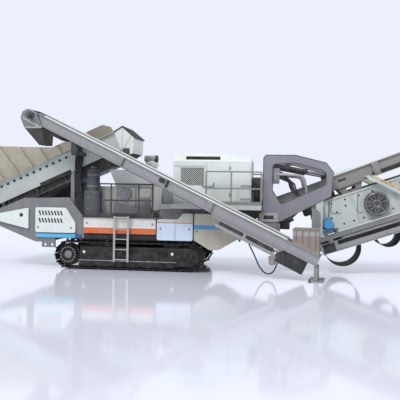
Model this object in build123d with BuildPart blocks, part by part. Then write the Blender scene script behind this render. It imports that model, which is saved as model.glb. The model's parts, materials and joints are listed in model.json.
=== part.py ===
from build123d import *
import os
from math import cos, pi, radians, sin, tan

# Tracked mobile crushing plant: feeder and jaw crusher on crawlers, with a screen and a return conveyor.
# Lengths are in millimetres. X runs from the feed end to the discharge end, -Y is the photographed side,
# and the origin lies on the ground under the middle of the machine.

os.makedirs("parts", exist_ok=True)

# Common sizes
mid_y = 400
seat_gap = 0.3
overrun = 60
plate = 20
rail_tube = 42

# Crawler tracks
track_length = 4680
track_height = 880
track_middle_x = -3270
track_gauge = 2300
shoe_width = 500
chain_depth = 80
shoe_pitch = 195
shoe_slot = 30
shoe_slot_depth = 35
wheel_clearance = 15
wheel_width = 180
cheek_plate = 35
frame_width = 330
frame_top_height = 640
frame_low_height = 300
roller_radius = 95
roller_count = 6
hub_radius = 260
hub_length = 130
hub_recess_radius = 190
hub_recess = 30
axle_radius = 70

# Car body between the tracks
beam_front_x = -4400
beam_rear_x = -2050
beam_width = 420
beam_low_height = 270
beam_depth = 190
pedestal_width = 190

# Chassis side plates, their outline given by heights and stations along the machine
chassis_half_width = 1260
chassis_plate = 60
chassis_low_height = 940
nose_tip_x = -7780
nose_tip_low_height = 1400
nose_tip_high_height = 1660
nose_shoulder_x = -6620
nose_shoulder_height = 2150
nose_knee_x = -6250
nose_knee_height = 800
nose_end_x = -5850
nose_step_x = -5690
riser_top_x = -5200
riser_height = 2190
deck_front_x = -4740
deck_height = 1600
deck_rear_x = -2330
deck_rise_x = -1650
tail_deck_height = 1790
tail_top_x = 330
boom_seat_front_x = 520
boom_seat_height = 1530
boom_seat_rear_x = 1290
boom_seat_low_height = 1300
tail_end_x = 110
tail_low_height = 1060
tie_lug_left_x = -6050
tie_lug_right_x = -5620
tie_lug_low_height = 640
tie_lug_hole_radius = 45
cross_member_depth = 180
cross_member_width = 260

# Side covers
cover_depth = 70
cover_corner = 60
cover_gap = 30
louvre_left_x = -6240
louvre_right_x = -4970
louvre_low_height = 1100
louvre_high_height = 1870
louvre_cut_x = -5270
louvre_cut_height = 1410
louvre_slot_count = 8
louvre_slot_width = 52
louvre_slot_length = 150
louvre_slot_pitch = 98
louvre_slot_depth = 25
louvre_slot_lean = 20
louvre_row_heights = (1470, 1700)
bar_left_x = -6220
bar_right_x = -4790
bar_low_height = 945
bar_high_height = 1060
bar_depth = 50
stripe_left_x = -4700
stripe_right_x = -2460
stripe_low_height = 1110
stripe_high_height = 1590
cabinet_left_x = -2410
cabinet_right_x = -1320
cabinet_step_x = -1790
cabinet_step_end_x = -1610
cabinet_low_height = 950
cabinet_high_height = 1590
cabinet_top_height = 1775
cabinet_depth = 130
tail_cover_left_x = -1290
tail_cover_right_x = 90
tail_cover_high_height = 1770
tail_cover_foot_x = -820
tail_cover_foot_end_x = -540
tail_cover_foot_height = 690
nose_cover_tip_x = -7700
nose_cover_tip_height = 1540
nose_cover_right_x = -6470
nose_cover_low_height = 1200
nose_cover_high_height = 1850

# Belt feeder, inclined, measured from the lower corner of its tail
feeder_angle = 24.3
feeder_tail_x = -8300
feeder_tail_height = 1642
feeder_length = 5050
feeder_depth = 600
feeder_half_width = 750
feeder_plate = 30
feeder_flange = 80
feeder_belt_half_width = 640
feeder_belt_thickness = 25
feeder_drum_radius = 150
feeder_drum_drop = 110
feeder_tail_drum_inset = 260
feeder_head_drum_reach = 120
feeder_lug_width = 360
feeder_lug_drop = 260
shaft_radius = 45

# Hood over the feeder's head
hood_length = 640
hood_height = 900
hood_low_height = 3520
hood_plate = 20
hood_shares = ((0.0, 0.80), (0.42, 1.0), (1.0, 0.66), (1.0, 0.30), (0.95, 0.08), (0.42, 0.0))

# Hopper walls, flared outwards from the feeder's top flange
hopper_flare = 38
hopper_plate = 20
hopper_rear_inset = 590
hopper_rim_height = 3740
hopper_front_height = 300
hopper_front_inset = 200
hopper_rib_width = 60
hopper_rib_depth = 70
hopper_rib_front_inset = 760
hopper_rib_count = 8

# Posts and braces that carry the feeder on the chassis
post_width = 110
post_depth = 85
bulkhead_plate = 30
brace_depth = 60
brace_rise = 640
post_x = -5250

# Jaw crusher on its platform
crusher_left_x = -3900
crusher_right_x = -2650
crusher_half_width = 620
crusher_plate = 60
crusher_top_height = 2650
crusher_throat_share = 0.30
jaw_thickness = 130
jaw_clearance = 10
inlet_left_x = -4060
inlet_right_x = -2690
inlet_half_width = 760
inlet_top_height = 3080
inlet_plate = 20
guard_left_x = -2670
guard_right_x = -2350
guard_low_height = 1840
guard_high_height = 2590
guard_depth = 150
guard_outer_y = 1000
guard_shaft_share = 0.4
platform_plate = 30
platform_inset = 20
platform_lip = 15
tank_x = -4540
tank_radius = 200
tank_y = -860
tank_box_height = 780
tank_box_width = 440
tank_height = 1450
tank_neck_radius = 90
tank_neck_height = 60

# Handrails
rail_height = 1000
rail_middle_share = 0.5
rail_post_shares = (0.0, 0.22, 0.74, 1.0)
pack_rail_post_shares = (0.0, 0.46, 1.0)
crusher_rail_left_x = -4230
crusher_rail_right_x = -2540
toe_board_height = 110

# Folding ladder at the platform's edge
ladder_left_x = -3740
ladder_width = 480
ladder_stringer_width = 60
ladder_stringer_depth = 35
ladder_rung_radius = 16
ladder_rung_pitch = 310
ladder_rung_count = 4
ladder_foot_height = 260
ladder_clearance = 12
ladder_pin_radius = 20
ladder_ear = 70
pin_gap = 0.05
crusher_rib = 60

# Power pack on its own platform
pack_left_x = -2000
pack_length = 2400
pack_half_width = 950
pack_height = 1580
pack_shares = ((0.0, 0.0), (0.0, 0.993), (0.70, 1.0), (0.985, 0.915), (1.0, 0.86), (1.0, 0.0))
pack_roof_slope = 265
pack_roof_inset = 150
pack_grille_depth = 120
pack_vent_left_x = -1770
pack_vent_width = 720
pack_vent_low_height = 2630
pack_vent_height = 540
pack_vent_depth = 30
pack_grille_left_x = -1620
pack_grille_width = 1060
pack_grille_low_height = 3420
pack_grille_height = 105
pack_platform_low_height = 1900
pack_platform_depth = 150
pack_platform_left_x = -2300
pack_platform_right_x = 730
valve_box_height = 450
valve_box_gap = 10
pack_notch_left_x = -350
pack_notch_half_width = 680
pack_rail_left_x = -960
cooler_left_x = 440
cooler_right_x = 690
cooler_half_width = 940
cooler_height = 850
exhaust_x = -3080
exhaust_y = 1150
exhaust_pipe_radius = 95
exhaust_drum_radius = 185
exhaust_drum_low_height = 2790
exhaust_drum_height = 460
exhaust_cap_radius = 235
exhaust_cap_height = 210

# Boom frame: two shaped plates with a window, on the base beam
boom_left_x = 630
boom_length = 2210
boom_height = 2050
boom_half_width = 1100
boom_plate = 60
boom_corner = 90
boom_shares = ((0.0, 0.0), (0.005, 0.085), (0.059, 0.205), (0.059, 0.955), (0.092, 1.0), (0.493, 1.0),
               (0.90, 0.896), (1.0, 0.761), (0.977, 0.408), (0.249, 0.0))
boom_window_shares = ((0.186, 0.866), (0.484, 0.891), (0.846, 0.791), (0.905, 0.745), (0.905, 0.575),
                      (0.308, 0.279), (0.181, 0.483))
boom_tube_radius = 70
boom_tube_shares = ((0.40, 0.945), (0.945, 0.785), (0.26, 0.13))

# Conveyors: channel frames with an endless belt on two drums
channel_web = 20
channel_flange = 55
channel_bar = 50
belt_thickness = 15
belt_drum_margin = 75
belt_side_gap = 45
drum_end_inset = 130
main_angle = 21
main_gauge_x = 3200
main_gauge_height = 3100
main_tail_x = -2420
main_head_x = 6500
main_depth = 420
main_half_width = 560
main_pad_width = 80
main_bar_shares = (0.12, 0.30, 0.62, 0.80, 0.94)
gusset_left_x = 2860
gusset_length = 790
gusset_depth = 200
gusset_slot_length = 300
gusset_slot_height = 90
product_depth = 330
product_half_width = 640
product_tail_reach = -20
product_length = 6250
product_bar_shares = (0.012, 0.19, 0.27, 0.39, 0.60, 0.85)
slack_bar_shares = ((0.012, 0.19), (0.27, 0.39))
slack_depths = (520, 360)
return_head_x = -6290
return_head_y = -1308
return_head_rise = 1120
return_tail_x = 2450
return_tail_y = -2303
return_tail_height = 705
return_depth = 300
return_half_width = 350
return_bar_shares = (0.08, 0.30, 0.50, 0.70, 0.92)
truss_start_share = 0.66
truss_end_share = 0.90
truss_depth = 300
truss_slot_shares = ((0.27, 0.42), (0.72, 0.42))
truss_slot_height = 110

# Vibrating screen, measured from the lower corner of its low end
screen_angle = 18.8
screen_low_x = 2440
screen_low_height = 1135
screen_length = 3900
screen_depth = 1000
screen_half_width = 985
screen_plate = 35
screen_lean = 60
screen_corner = 110
screen_edge_height = 70
screen_deck_thickness = 40
screen_deck_low = 130
screen_deck_high = 800
exciter_along = 1914
exciter_across = 451
exciter_tube_radius = 140
exciter_shaft_radius = 50
exciter_shaft_clearance = 15
flywheel_radius = 360
flywheel_width = 130
flywheel_gap = 70
flywheel_rim = 70
flywheel_dish = 40
flywheel_rib_count = 12
flywheel_rib_width = 16
flywheel_hub_radius = 100
spring_radius = 55
spring_along_shares = (0.14, 0.92)
spring_bracket = 45
subframe_high = -15
subframe_depth = 150
subframe_inner_y = 1040
subframe_outer_y = 1130
subframe_start = -60
subframe_end = 3860
subframe_beam_width = 110
subframe_beam_shares = (0.10, 0.90)
hanger_left_x = 2330
hanger_right_x = 2555
strut_top_x = 3850
strut_low_x = 5600
strut_width = 90
strut_plate = 45
motor_radius = 130
motor_length = 330
motor_x = 2710
motor_height = 1530

# Head chute of the return conveyor, its tail hopper, leg, bracket and tray
chute_plate = 15
chute_rim_clearance = 70
chute_hood_height = 560
chute_front = 280
chute_back = 420
chute_hood_shares = ((-0.21, 0.01), (0.52, -0.20), (1.0, -1.0), (-0.55, -1.0), (-1.0, -0.50), (-0.79, -0.14))
chute_outlet_length = 200
chute_outlet_half_width = 260
chute_outlet_shift = 480
chute_outlet_lead = 130
tail_hopper_start = 780
tail_hopper_end = 60
tail_hopper_height = 1460
tail_hopper_plate = 15
deflector_start = 310
deflector_end = 60
deflector_height = 2000
deflector_corner = 200
leg_inset = 130
leg_width = 110
leg_foot_length = 420
leg_foot_width = 260
leg_foot_plate = 30
bracket_x = -4900
bracket_width = 160
bracket_low_height = 3480
bracket_depth = 110
tray_start = 700
tray_length = 900
tray_depth = 400

# Drain hose, from a gland on the near chassis side to the tray: points along, across and up
hose_diameter = 40
hose_gland_radius = 45
hose_bend_share = 0.45
hose_points = ((250, -1300, 1180), (250, -1480, 1180), (380, -1650, 940), (560, -1800, 620),
               (700, -1900, 300), (900, -1980, 90), (1110, -2090, 150), (1194.9, -2160.1, 372),
               (1254.3, -2166.9, 498.6))


def mid_plane(y):
    """Sketch plane seen from the near side: x along the machine, y up, extruding towards the viewer."""
    return Plane(origin=(0, mid_y + y, 0), x_dir=(1, 0, 0), z_dir=(0, -1, 0))


def slope_plane(x, z, y, angle):
    """The same plane with its x axis tilted up by an angle about the point x, z."""
    along = (cos(radians(angle)), 0, sin(radians(angle)))
    return Plane(origin=(x, mid_y + y, z), x_dir=along, z_dir=(0, -1, 0))


def save(part, name):
    """Name a finished piece and write its file."""
    part.label = name
    export_step(part, f"parts/{name}.step")


sides = {"near": -1, "far": 1}
return_head_height = hopper_rim_height + return_head_rise
chute_height = return_head_rise - chute_rim_clearance
platform_half_width = track_gauge / 2 + shoe_width / 2 - platform_inset
hopper_rib_span = feeder_length - hopper_rear_inset - hopper_rib_width - hopper_rib_front_inset
hopper_rib_pitch = hopper_rib_span / (hopper_rib_count - 1)
track_radius = track_height / 2
drive_x = track_middle_x - track_length / 2 + track_radius
idler_x = track_middle_x + track_length / 2 - track_radius
wheel_radius = track_radius - chain_depth - wheel_clearance
roller_height = chain_depth + seat_gap + roller_radius
frame_left_x = drive_x + wheel_radius + wheel_clearance
frame_right_x = idler_x - wheel_radius - wheel_clearance
cheek_y = frame_width / 2 - cheek_plate / 2
cheek_inner_y = frame_width / 2 - cheek_plate
run_length = idler_x - drive_x
slots_per_run = int(run_length / shoe_pitch)
slots_per_end = int(track_radius * pi / shoe_pitch)

# Crawler chain: one loop of shoes, slotted across between one shoe and the next
for side, sign in sides.items():
    track_y = sign * track_gauge / 2
    with BuildPart() as chain:
        with BuildSketch(mid_plane(track_y + shoe_width / 2)):
            with Locations((track_middle_x, track_radius)):
                SlotOverall(track_length, track_height)
                SlotOverall(track_length - 2 * chain_depth, track_height - 2 * chain_depth,
                            mode=Mode.SUBTRACT)
        extrude(amount=shoe_width)
        with BuildSketch(mid_plane(track_y + shoe_width / 2)):
            with Locations((track_middle_x, track_height), (track_middle_x, 0)):
                with GridLocations(shoe_pitch, 0, slots_per_run, 1):
                    Rectangle(shoe_slot, 2 * shoe_slot_depth)
            for end_x, start in ((drive_x, 90), (idler_x, -90)):
                step = 180 / slots_per_end
                with Locations((end_x, track_radius)):
                    with PolarLocations(track_radius, slots_per_end, start + step / 2, 180 - step,
                                        endpoint=True):
                        Rectangle(2 * shoe_slot_depth, shoe_slot)
        extrude(amount=shoe_width, mode=Mode.SUBTRACT)
    save(chain.part, f"track_chain_{side}")

    # Track frame: a box between two cheek plates that reach both wheel axles
    with BuildPart() as track_frame:
        with BuildSketch(mid_plane(track_y + frame_width / 2)):
            with Locations(((frame_left_x + frame_right_x) / 2, (frame_top_height + frame_low_height) / 2)):
                Rectangle(frame_right_x - frame_left_x, frame_top_height - frame_low_height)
        extrude(amount=frame_width)
        for cheek_place in (-cheek_y, cheek_y):
            with BuildSketch(mid_plane(track_y + cheek_place + cheek_plate / 2)):
                with Locations(((frame_left_x + idler_x) / 2, track_radius)):
                    Rectangle(idler_x - frame_left_x, 2 * (track_radius - roller_height))
                with Locations((idler_x, track_radius)):
                    Circle(track_radius - roller_height)
            extrude(amount=cheek_plate)
        with BuildSketch(mid_plane(track_y - sign * cheek_y + cheek_plate / 2)):
            with Locations(((drive_x + frame_left_x) / 2, track_radius)):
                Rectangle(frame_left_x - drive_x, 2 * hub_radius)
            with Locations((drive_x, track_radius)):
                Circle(hub_radius)
        extrude(amount=cheek_plate)
    save(track_frame.part, f"track_frame_{side}")

# Final drives: each a sprocket rim on the inner cheek, with a stepped hub cover outside
with BuildPart() as drives:
    for sign in sides.values():
        track_y = sign * track_gauge / 2
        with BuildSketch(mid_plane(track_y - sign * cheek_inner_y)):
            with Locations((drive_x, track_radius)):
                Circle(hub_radius)
        extrude(amount=-sign * (cheek_inner_y + wheel_width / 2 + hub_length))
        with BuildSketch(mid_plane(track_y - sign * wheel_width / 2)):
            with Locations((drive_x, track_radius)):
                Circle(wheel_radius)
        extrude(amount=-sign * wheel_width)
        with BuildSketch(mid_plane(track_y + sign * (wheel_width / 2 + hub_length))):
            with Locations((drive_x, track_radius)):
                Circle(hub_recess_radius)
        extrude(amount=sign * hub_recess, mode=Mode.SUBTRACT)
save(drives.part, "final_drives")

# Idler wheels and bottom rollers between the cheeks, the rollers running on the chain
with BuildPart() as wheels:
    for sign in sides.values():
        track_y = sign * track_gauge / 2
        with BuildSketch(mid_plane(track_y + wheel_width / 2)):
            with Locations((idler_x, track_radius)):
                Circle(wheel_radius)
        extrude(amount=wheel_width)
        with BuildSketch(mid_plane(track_y + cheek_inner_y)):
            with Locations((idler_x, track_radius)):
                Circle(axle_radius)
            with Locations(((frame_left_x + frame_right_x) / 2, roller_height)):
                with GridLocations((frame_right_x - frame_left_x) / roller_count, 0, roller_count, 1):
                    Circle(roller_radius)
        extrude(amount=2 * cheek_inner_y)
save(wheels.part, "track_wheels")


def slab_plane(sign, outer, thickness):
    """Plane from which a slab of this thickness, extruded to the near side, ends at the outer distance."""
    if sign > 0:
        return mid_plane(outer)
    return mid_plane(thickness - outer)


def box(x0, x1, y0, y1, z0, z1):
    """Add a plain bar or block between two corners to the piece being built."""
    with Locations(((x0 + x1) / 2, mid_y + (y0 + y1) / 2, (z0 + z1) / 2)):
        Box(x1 - x0, y1 - y0, z1 - z0)


def covers(name, points, depth, corner):
    """A pair of pressed side covers: outlines with rounded corners, standing on the chassis side plates."""
    with BuildPart() as panels:
        for sign in sides.values():
            with BuildSketch(slab_plane(sign, chassis_half_width + depth, depth)) as outline:
                with BuildLine():
                    Polyline(*points, close=True)
                make_face()
                fillet(outline.vertices(), corner)
            extrude(amount=depth)
    save(panels.part, name)


# Line of the main conveyor, which two pieces below it carry on pads
main_tail_height = main_gauge_height + (main_tail_x - main_gauge_x) * tan(radians(main_angle))
main_plane = slope_plane(main_tail_x, main_tail_height, 0, main_angle)
main_length = (main_head_x - main_tail_x) / cos(radians(main_angle))

# Car body: cross beams between the track frames, with pedestals under the chassis
inner_cheek_y = track_gauge / 2 - frame_width / 2
beam_top = beam_low_height + beam_depth
chassis_inner_y = chassis_half_width - chassis_plate
pedestal_outer_y = track_gauge / 2 - shoe_width / 2 - wheel_clearance
pedestal_y = pedestal_outer_y - pedestal_width
with BuildPart() as car_body:
    for beam_x in (beam_front_x, beam_rear_x):
        left = beam_x - beam_width / 2
        right = beam_x + beam_width / 2
        box(left, right, -inner_cheek_y, inner_cheek_y, beam_low_height, beam_top)
        for sign in sides.values():
            low, high = sorted((sign * pedestal_y, sign * pedestal_outer_y))
            box(left, right, low, high, beam_low_height, chassis_low_height)
    for sign in sides.values():
        low, high = sorted((sign * (main_half_width - main_pad_width), sign * main_half_width))
        box(beam_rear_x - main_pad_width, beam_rear_x + main_pad_width, low, high,
            beam_top, chassis_low_height)
    with BuildSketch(main_plane.offset(-main_half_width - overrun)):
        with Locations((main_length / 2, -main_depth - seat_gap + main_length / 2)):
            Rectangle(main_length, main_length)
    extrude(amount=2 * (main_half_width + overrun), mode=Mode.SUBTRACT)
save(car_body.part, "car_body")

# Chassis side plates with the raised nose and the seat of the boom frame
chassis_outline = [
    (nose_tip_x, nose_tip_low_height), (nose_tip_x, nose_tip_high_height),
    (nose_shoulder_x, nose_shoulder_height), (riser_top_x, riser_height),
    (deck_front_x, deck_height), (deck_rear_x, deck_height),
    (deck_rise_x, tail_deck_height), (tail_top_x, tail_deck_height),
    (boom_seat_front_x, boom_seat_height), (boom_seat_rear_x, boom_seat_height),
    (boom_seat_rear_x, boom_seat_low_height), (tail_end_x, tail_low_height),
    (tail_cover_left_x, chassis_low_height), (nose_step_x, chassis_low_height),
    (nose_end_x, nose_knee_height), (nose_knee_x, nose_knee_height),
]
tie_lug_middle_x = (tie_lug_left_x + tie_lug_right_x) / 2
tie_lug_length = tie_lug_right_x - tie_lug_left_x
for side, sign in sides.items():
    with BuildPart() as chassis:
        with BuildSketch(slab_plane(sign, chassis_half_width, chassis_plate)):
            with BuildLine():
                Polyline(*chassis_outline, close=True)
            make_face()
            with Locations((tie_lug_middle_x, (tie_lug_low_height + chassis_low_height) / 2)):
                Rectangle(tie_lug_length, chassis_low_height - tie_lug_low_height)
            with Locations((tie_lug_middle_x, (tie_lug_low_height + nose_knee_height) / 2)):
                with GridLocations(tie_lug_length / 2, 0, 2, 1):
                    Circle(tie_lug_hole_radius, mode=Mode.SUBTRACT)
        extrude(amount=chassis_plate)
        if side == "near":
            with BuildSketch(mid_plane(-chassis_half_width)):
                with Locations((hose_points[0][0], hose_points[0][2])):
                    Circle(hose_gland_radius)
            extrude(amount=-hose_points[0][1] - chassis_half_width - seat_gap)
    save(chassis.part, f"chassis_side_{side}")

# Cross members: bars between the side plates, two of them on the car body's pedestals
cross_stations = [
    (nose_tip_x + cross_member_width, nose_tip_low_height - cross_member_depth / 2),
    (post_x, deck_height - cross_member_depth),
    (nose_knee_x + cross_member_width, nose_knee_height),
    (beam_front_x, chassis_low_height),
    (deck_rise_x + cross_member_width, tail_deck_height - cross_member_depth),
    (tail_top_x - cross_member_width, tail_low_height),
]
with BuildPart() as cross_members:
    for station_x, station_z in cross_stations:
        left = station_x - cross_member_width / 2
        right = station_x + cross_member_width / 2
        box(left, right, -chassis_inner_y, chassis_inner_y, station_z, station_z + cross_member_depth)
    for sign in sides.values():
        low, high = sorted((sign * pedestal_y, sign * chassis_inner_y))
        left = beam_rear_x - cross_member_width / 2
        right = beam_rear_x + cross_member_width / 2
        box(left, right, low, high, chassis_low_height, chassis_low_height + cross_member_depth)
save(cross_members.part, "chassis_cross_members")

# Boom base: the cross beam between the side plates that carries the boom frame and the screen
with BuildPart() as boom_base:
    box(boom_seat_front_x + seat_gap, boom_seat_rear_x, -chassis_inner_y, chassis_inner_y,
        boom_seat_low_height, boom_seat_height)
    for sign in sides.values():
        low, high = sorted((sign * (main_half_width - main_pad_width), sign * main_half_width))
        box(boom_seat_front_x + main_pad_width, boom_seat_front_x + 3 * main_pad_width, low, high,
            boom_seat_height, pack_platform_low_height)
    with BuildSketch(main_plane.offset(-main_half_width - overrun)):
        with Locations((main_length / 2, -main_depth - seat_gap + main_length / 2)):
            Rectangle(main_length, main_length)
    extrude(amount=2 * (main_half_width + overrun), mode=Mode.SUBTRACT)
save(boom_base.part, "boom_base_beam")

# Side covers, the same outlines on both sides
covers("nose_panels", [
    (nose_cover_tip_x, nose_cover_tip_height - cover_corner),
    (nose_cover_tip_x, nose_cover_tip_height + cover_corner),
    (nose_cover_right_x, nose_cover_high_height),
    (nose_cover_right_x, nose_cover_low_height),
], cover_depth, cover_corner / 2)
covers("blue_bars", [
    (bar_left_x, bar_low_height), (bar_left_x, bar_high_height),
    (bar_right_x, bar_high_height), (bar_right_x, bar_low_height),
], bar_depth, bar_depth / 4)
covers("stripe_panels", [
    (stripe_left_x, stripe_low_height), (stripe_left_x, stripe_high_height),
    (stripe_right_x, stripe_high_height), (stripe_right_x, stripe_low_height),
], cover_depth, cover_corner / 2)
covers("side_cabinets", [
    (cabinet_left_x, cabinet_low_height), (cabinet_left_x, cabinet_high_height),
    (cabinet_step_x, cabinet_high_height), (cabinet_step_end_x, cabinet_top_height),
    (cabinet_right_x, cabinet_top_height), (cabinet_right_x, cabinet_low_height),
], cabinet_depth, cover_corner)
covers("tail_panels", [
    (tail_cover_left_x, tail_cover_high_height), (tail_cover_right_x, tail_cover_high_height),
    (tail_cover_right_x, tail_low_height), (tail_cover_foot_end_x, tail_cover_foot_height),
    (tail_cover_foot_x, tail_cover_foot_height), (tail_cover_left_x, chassis_low_height + cover_gap),
], cover_depth, cover_corner)

# Louvred doors: a clipped corner and two rows of leaning slots pressed into each
slot_middle = (louvre_left_x + louvre_cut_x) / 2
with BuildPart() as louvres:
    for sign in sides.values():
        with BuildSketch(slab_plane(sign, chassis_half_width + cover_depth, cover_depth)) as outline:
            with BuildLine():
                Polyline(
                    (louvre_left_x, louvre_low_height), (louvre_left_x, louvre_high_height),
                    (louvre_cut_x, louvre_high_height), (louvre_right_x, louvre_cut_height),
                    (louvre_right_x, louvre_low_height), close=True)
            make_face()
            fillet(outline.vertices(), cover_corner)
        extrude(amount=cover_depth)
        with BuildSketch(mid_plane(sign * (chassis_half_width + cover_depth))):
            for row_height in louvre_row_heights:
                with Locations((slot_middle, row_height)):
                    with GridLocations(louvre_slot_pitch, 0, louvre_slot_count, 1):
                        Rectangle(louvre_slot_width, louvre_slot_length, rotation=louvre_slot_lean)
        extrude(amount=sign * louvre_slot_depth, mode=Mode.SUBTRACT)
save(louvres.part, "louvre_doors")

def on_slope(x, z, angle, along, across):
    """Station along and across an inclined line that starts at x, z."""
    c = cos(radians(angle))
    s = sin(radians(angle))
    return (x + along * c - across * s, z + along * s + across * c)


def feeder_point(along, across):
    """Place on the feeder: along its lower edge, and square to it."""
    return on_slope(feeder_tail_x, feeder_tail_height, feeder_angle, along, across)


def belt_loop(plane, length, radius, thickness, width):
    """An endless belt round two drums: a slot-shaped ring on the plane, extruded to its width."""
    with BuildPart() as loop:
        with BuildSketch(plane):
            with Locations((length / 2, 0)):
                SlotCenterToCenter(length, 2 * (radius + thickness))
                SlotCenterToCenter(length, 2 * (radius + seat_gap), mode=Mode.SUBTRACT)
        extrude(amount=width)
    return loop.part


# Feeder side plates with a bolted top flange and a bearing lug at the tail
lug_left = feeder_tail_drum_inset - feeder_lug_width / 2
lug_right = feeder_tail_drum_inset + feeder_lug_width / 2
for side, sign in sides.items():
    flange_outer = feeder_half_width + feeder_flange
    with BuildPart() as feeder_side:
        plate_y = sign * feeder_half_width if sign > 0 else feeder_plate - feeder_half_width
        with BuildSketch(slope_plane(feeder_tail_x, feeder_tail_height, plate_y, feeder_angle)):
            with BuildLine():
                Polyline(
                    (0, 0), (0, feeder_depth), (feeder_length, feeder_depth), (feeder_length, 0),
                    (lug_right, 0), (lug_right, -feeder_lug_drop), (lug_left, -feeder_lug_drop),
                    (lug_left, 0), close=True)
            make_face()
        extrude(amount=feeder_plate)
        flange_y = flange_outer if sign > 0 else -feeder_half_width
        with BuildSketch(slope_plane(feeder_tail_x, feeder_tail_height, flange_y, feeder_angle)):
            with Locations((feeder_length / 2, feeder_depth - hopper_plate / 2)):
                Rectangle(feeder_length, hopper_plate)
        extrude(amount=feeder_flange)
    save(feeder_side.part, f"feeder_side_{side}")

# Feeder belt, between a tail drum in the lugs and a head drum in the hood
drum_length = feeder_length + feeder_head_drum_reach - feeder_tail_drum_inset
drum_tail = feeder_point(feeder_tail_drum_inset, -feeder_drum_drop)
drum_head = feeder_point(feeder_length + feeder_head_drum_reach, -feeder_drum_drop)
feeder_belt_plane = slope_plane(drum_tail[0], drum_tail[1], feeder_belt_half_width, feeder_angle)
feeder_belt = belt_loop(feeder_belt_plane, drum_length, feeder_drum_radius, feeder_belt_thickness,
                        2 * feeder_belt_half_width)
save(feeder_belt, "feeder_belt")

# Head hood: two shaped cheeks, a front and a sloping roof, open below and towards the belt
hood_left_x = feeder_point(feeder_length, feeder_depth)[0] + seat_gap
hood_points = [(hood_left_x + u * hood_length, hood_low_height + v * hood_height) for u, v in hood_shares]
hood_inner = feeder_half_width - hood_plate
with BuildPart() as hood:
    with BuildSketch(mid_plane(feeder_half_width)):
        with BuildLine():
            Polyline(*hood_points, close=True)
        make_face()
    extrude(amount=2 * feeder_half_width)
    with BuildSketch(mid_plane(hood_inner)):
        with BuildLine():
            Polyline(*hood_points, close=True)
        make_face()
        offset(amount=-hood_plate, mode=Mode.REPLACE)
    extrude(amount=2 * hood_inner, mode=Mode.SUBTRACT)
    # The side towards the belt and the bottom are open
    with BuildSketch(mid_plane(hood_inner)):
        with BuildLine():
            Polyline(hood_points[0], hood_points[5], hood_points[4],
                     (hood_points[4][0], hood_low_height - hood_height),
                     (hood_points[0][0] - hood_length, hood_low_height - hood_height),
                     (hood_points[0][0] - hood_length, hood_points[0][1]), close=True)
        make_face()
        offset(amount=hood_plate)
    extrude(amount=2 * hood_inner, mode=Mode.SUBTRACT)
    # The cheeks stop at the feeder's end
    for sign in sides.values():
        cut_y = overrun + sign * feeder_half_width
        with BuildSketch(slope_plane(feeder_tail_x, feeder_tail_height, cut_y, feeder_angle)):
            with Locations((feeder_length - hood_length + seat_gap, 0)):
                Rectangle(2 * hood_length, 4 * feeder_depth)
        extrude(amount=2 * overrun, mode=Mode.SUBTRACT)
save(hood.part, "feeder_head_hood")

# Hopper side walls: flat flared plates with ribs outside, level along the rim and stepped at the front
flare_cos = cos(radians(hopper_flare))
slope_cos = cos(radians(feeder_angle))
slope_sin = sin(radians(feeder_angle))
wall_lift = feeder_depth + hopper_plate * sin(radians(hopper_flare)) + seat_gap
wall_base_height = feeder_point(0, wall_lift)[1]


def wall_height(along):
    """Slant height of the hopper wall at a station along the feeder."""
    level = (hopper_rim_height - wall_base_height - along * slope_sin) / slope_cos
    return max(level, hopper_front_height) / flare_cos


rim_knee = (hopper_rim_height - wall_base_height - hopper_front_height * slope_cos) / slope_sin
wall_corner = feeder_point(0, wall_lift)
for side, sign in sides.items():
    slope = Vector(slope_cos, 0, slope_sin)
    rise = Vector(-slope_sin * flare_cos, sign * sin(radians(hopper_flare)), slope_cos * flare_cos)
    corner = (wall_corner[0], mid_y + sign * feeder_half_width, wall_corner[1])
    wall_plane = Plane(origin=corner, x_dir=slope, z_dir=slope.cross(rise))
    with BuildPart() as wall:
        with BuildSketch(wall_plane):
            with BuildLine():
                Polyline(
                    (hopper_rear_inset, 0), (hopper_rear_inset, wall_height(hopper_rear_inset)),
                    (rim_knee, wall_height(rim_knee)),
                    (feeder_length - hopper_front_inset, wall_height(feeder_length)),
                    (feeder_length, wall_height(feeder_length) / 2), (feeder_length, 0), close=True)
            make_face()
        extrude(amount=-sign * hopper_plate)
        with BuildSketch(wall_plane.offset(-sign * hopper_plate)):
            for rib in range(hopper_rib_count):
                rib_along = hopper_rear_inset + hopper_rib_width + rib * hopper_rib_pitch
                rib_end = wall_height(rib_along + hopper_rib_width)
                rib_start = hopper_rib_depth
                with Locations((rib_along, (rib_start + rib_end) / 2)):
                    Rectangle(hopper_rib_width, rib_end - rib_start)
        extrude(amount=-sign * hopper_rib_depth)
    save(wall.part, f"hopper_wall_{side}")

# Hopper rear wall: a trapezium square to the feeder, between the flared side walls
rear_rise = wall_height(hopper_rear_inset) * flare_cos
rear_low = feeder_half_width
rear_high = feeder_half_width + rear_rise * tan(radians(hopper_flare))
rear_corner = feeder_point(hopper_rear_inset - seat_gap, wall_lift)
rear_plane = Plane(origin=(rear_corner[0], mid_y, rear_corner[1]), x_dir=(0, 1, 0),
                   z_dir=(-slope_cos, 0, -slope_sin))
with BuildPart() as rear_wall:
    with BuildSketch(rear_plane):
        with BuildLine():
            Polyline((-rear_low, 0), (-rear_high, -rear_rise), (rear_high, -rear_rise), (rear_low, 0),
                     close=True)
        make_face()
    extrude(amount=hopper_plate)
save(rear_wall.part, "hopper_wall_rear")

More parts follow.
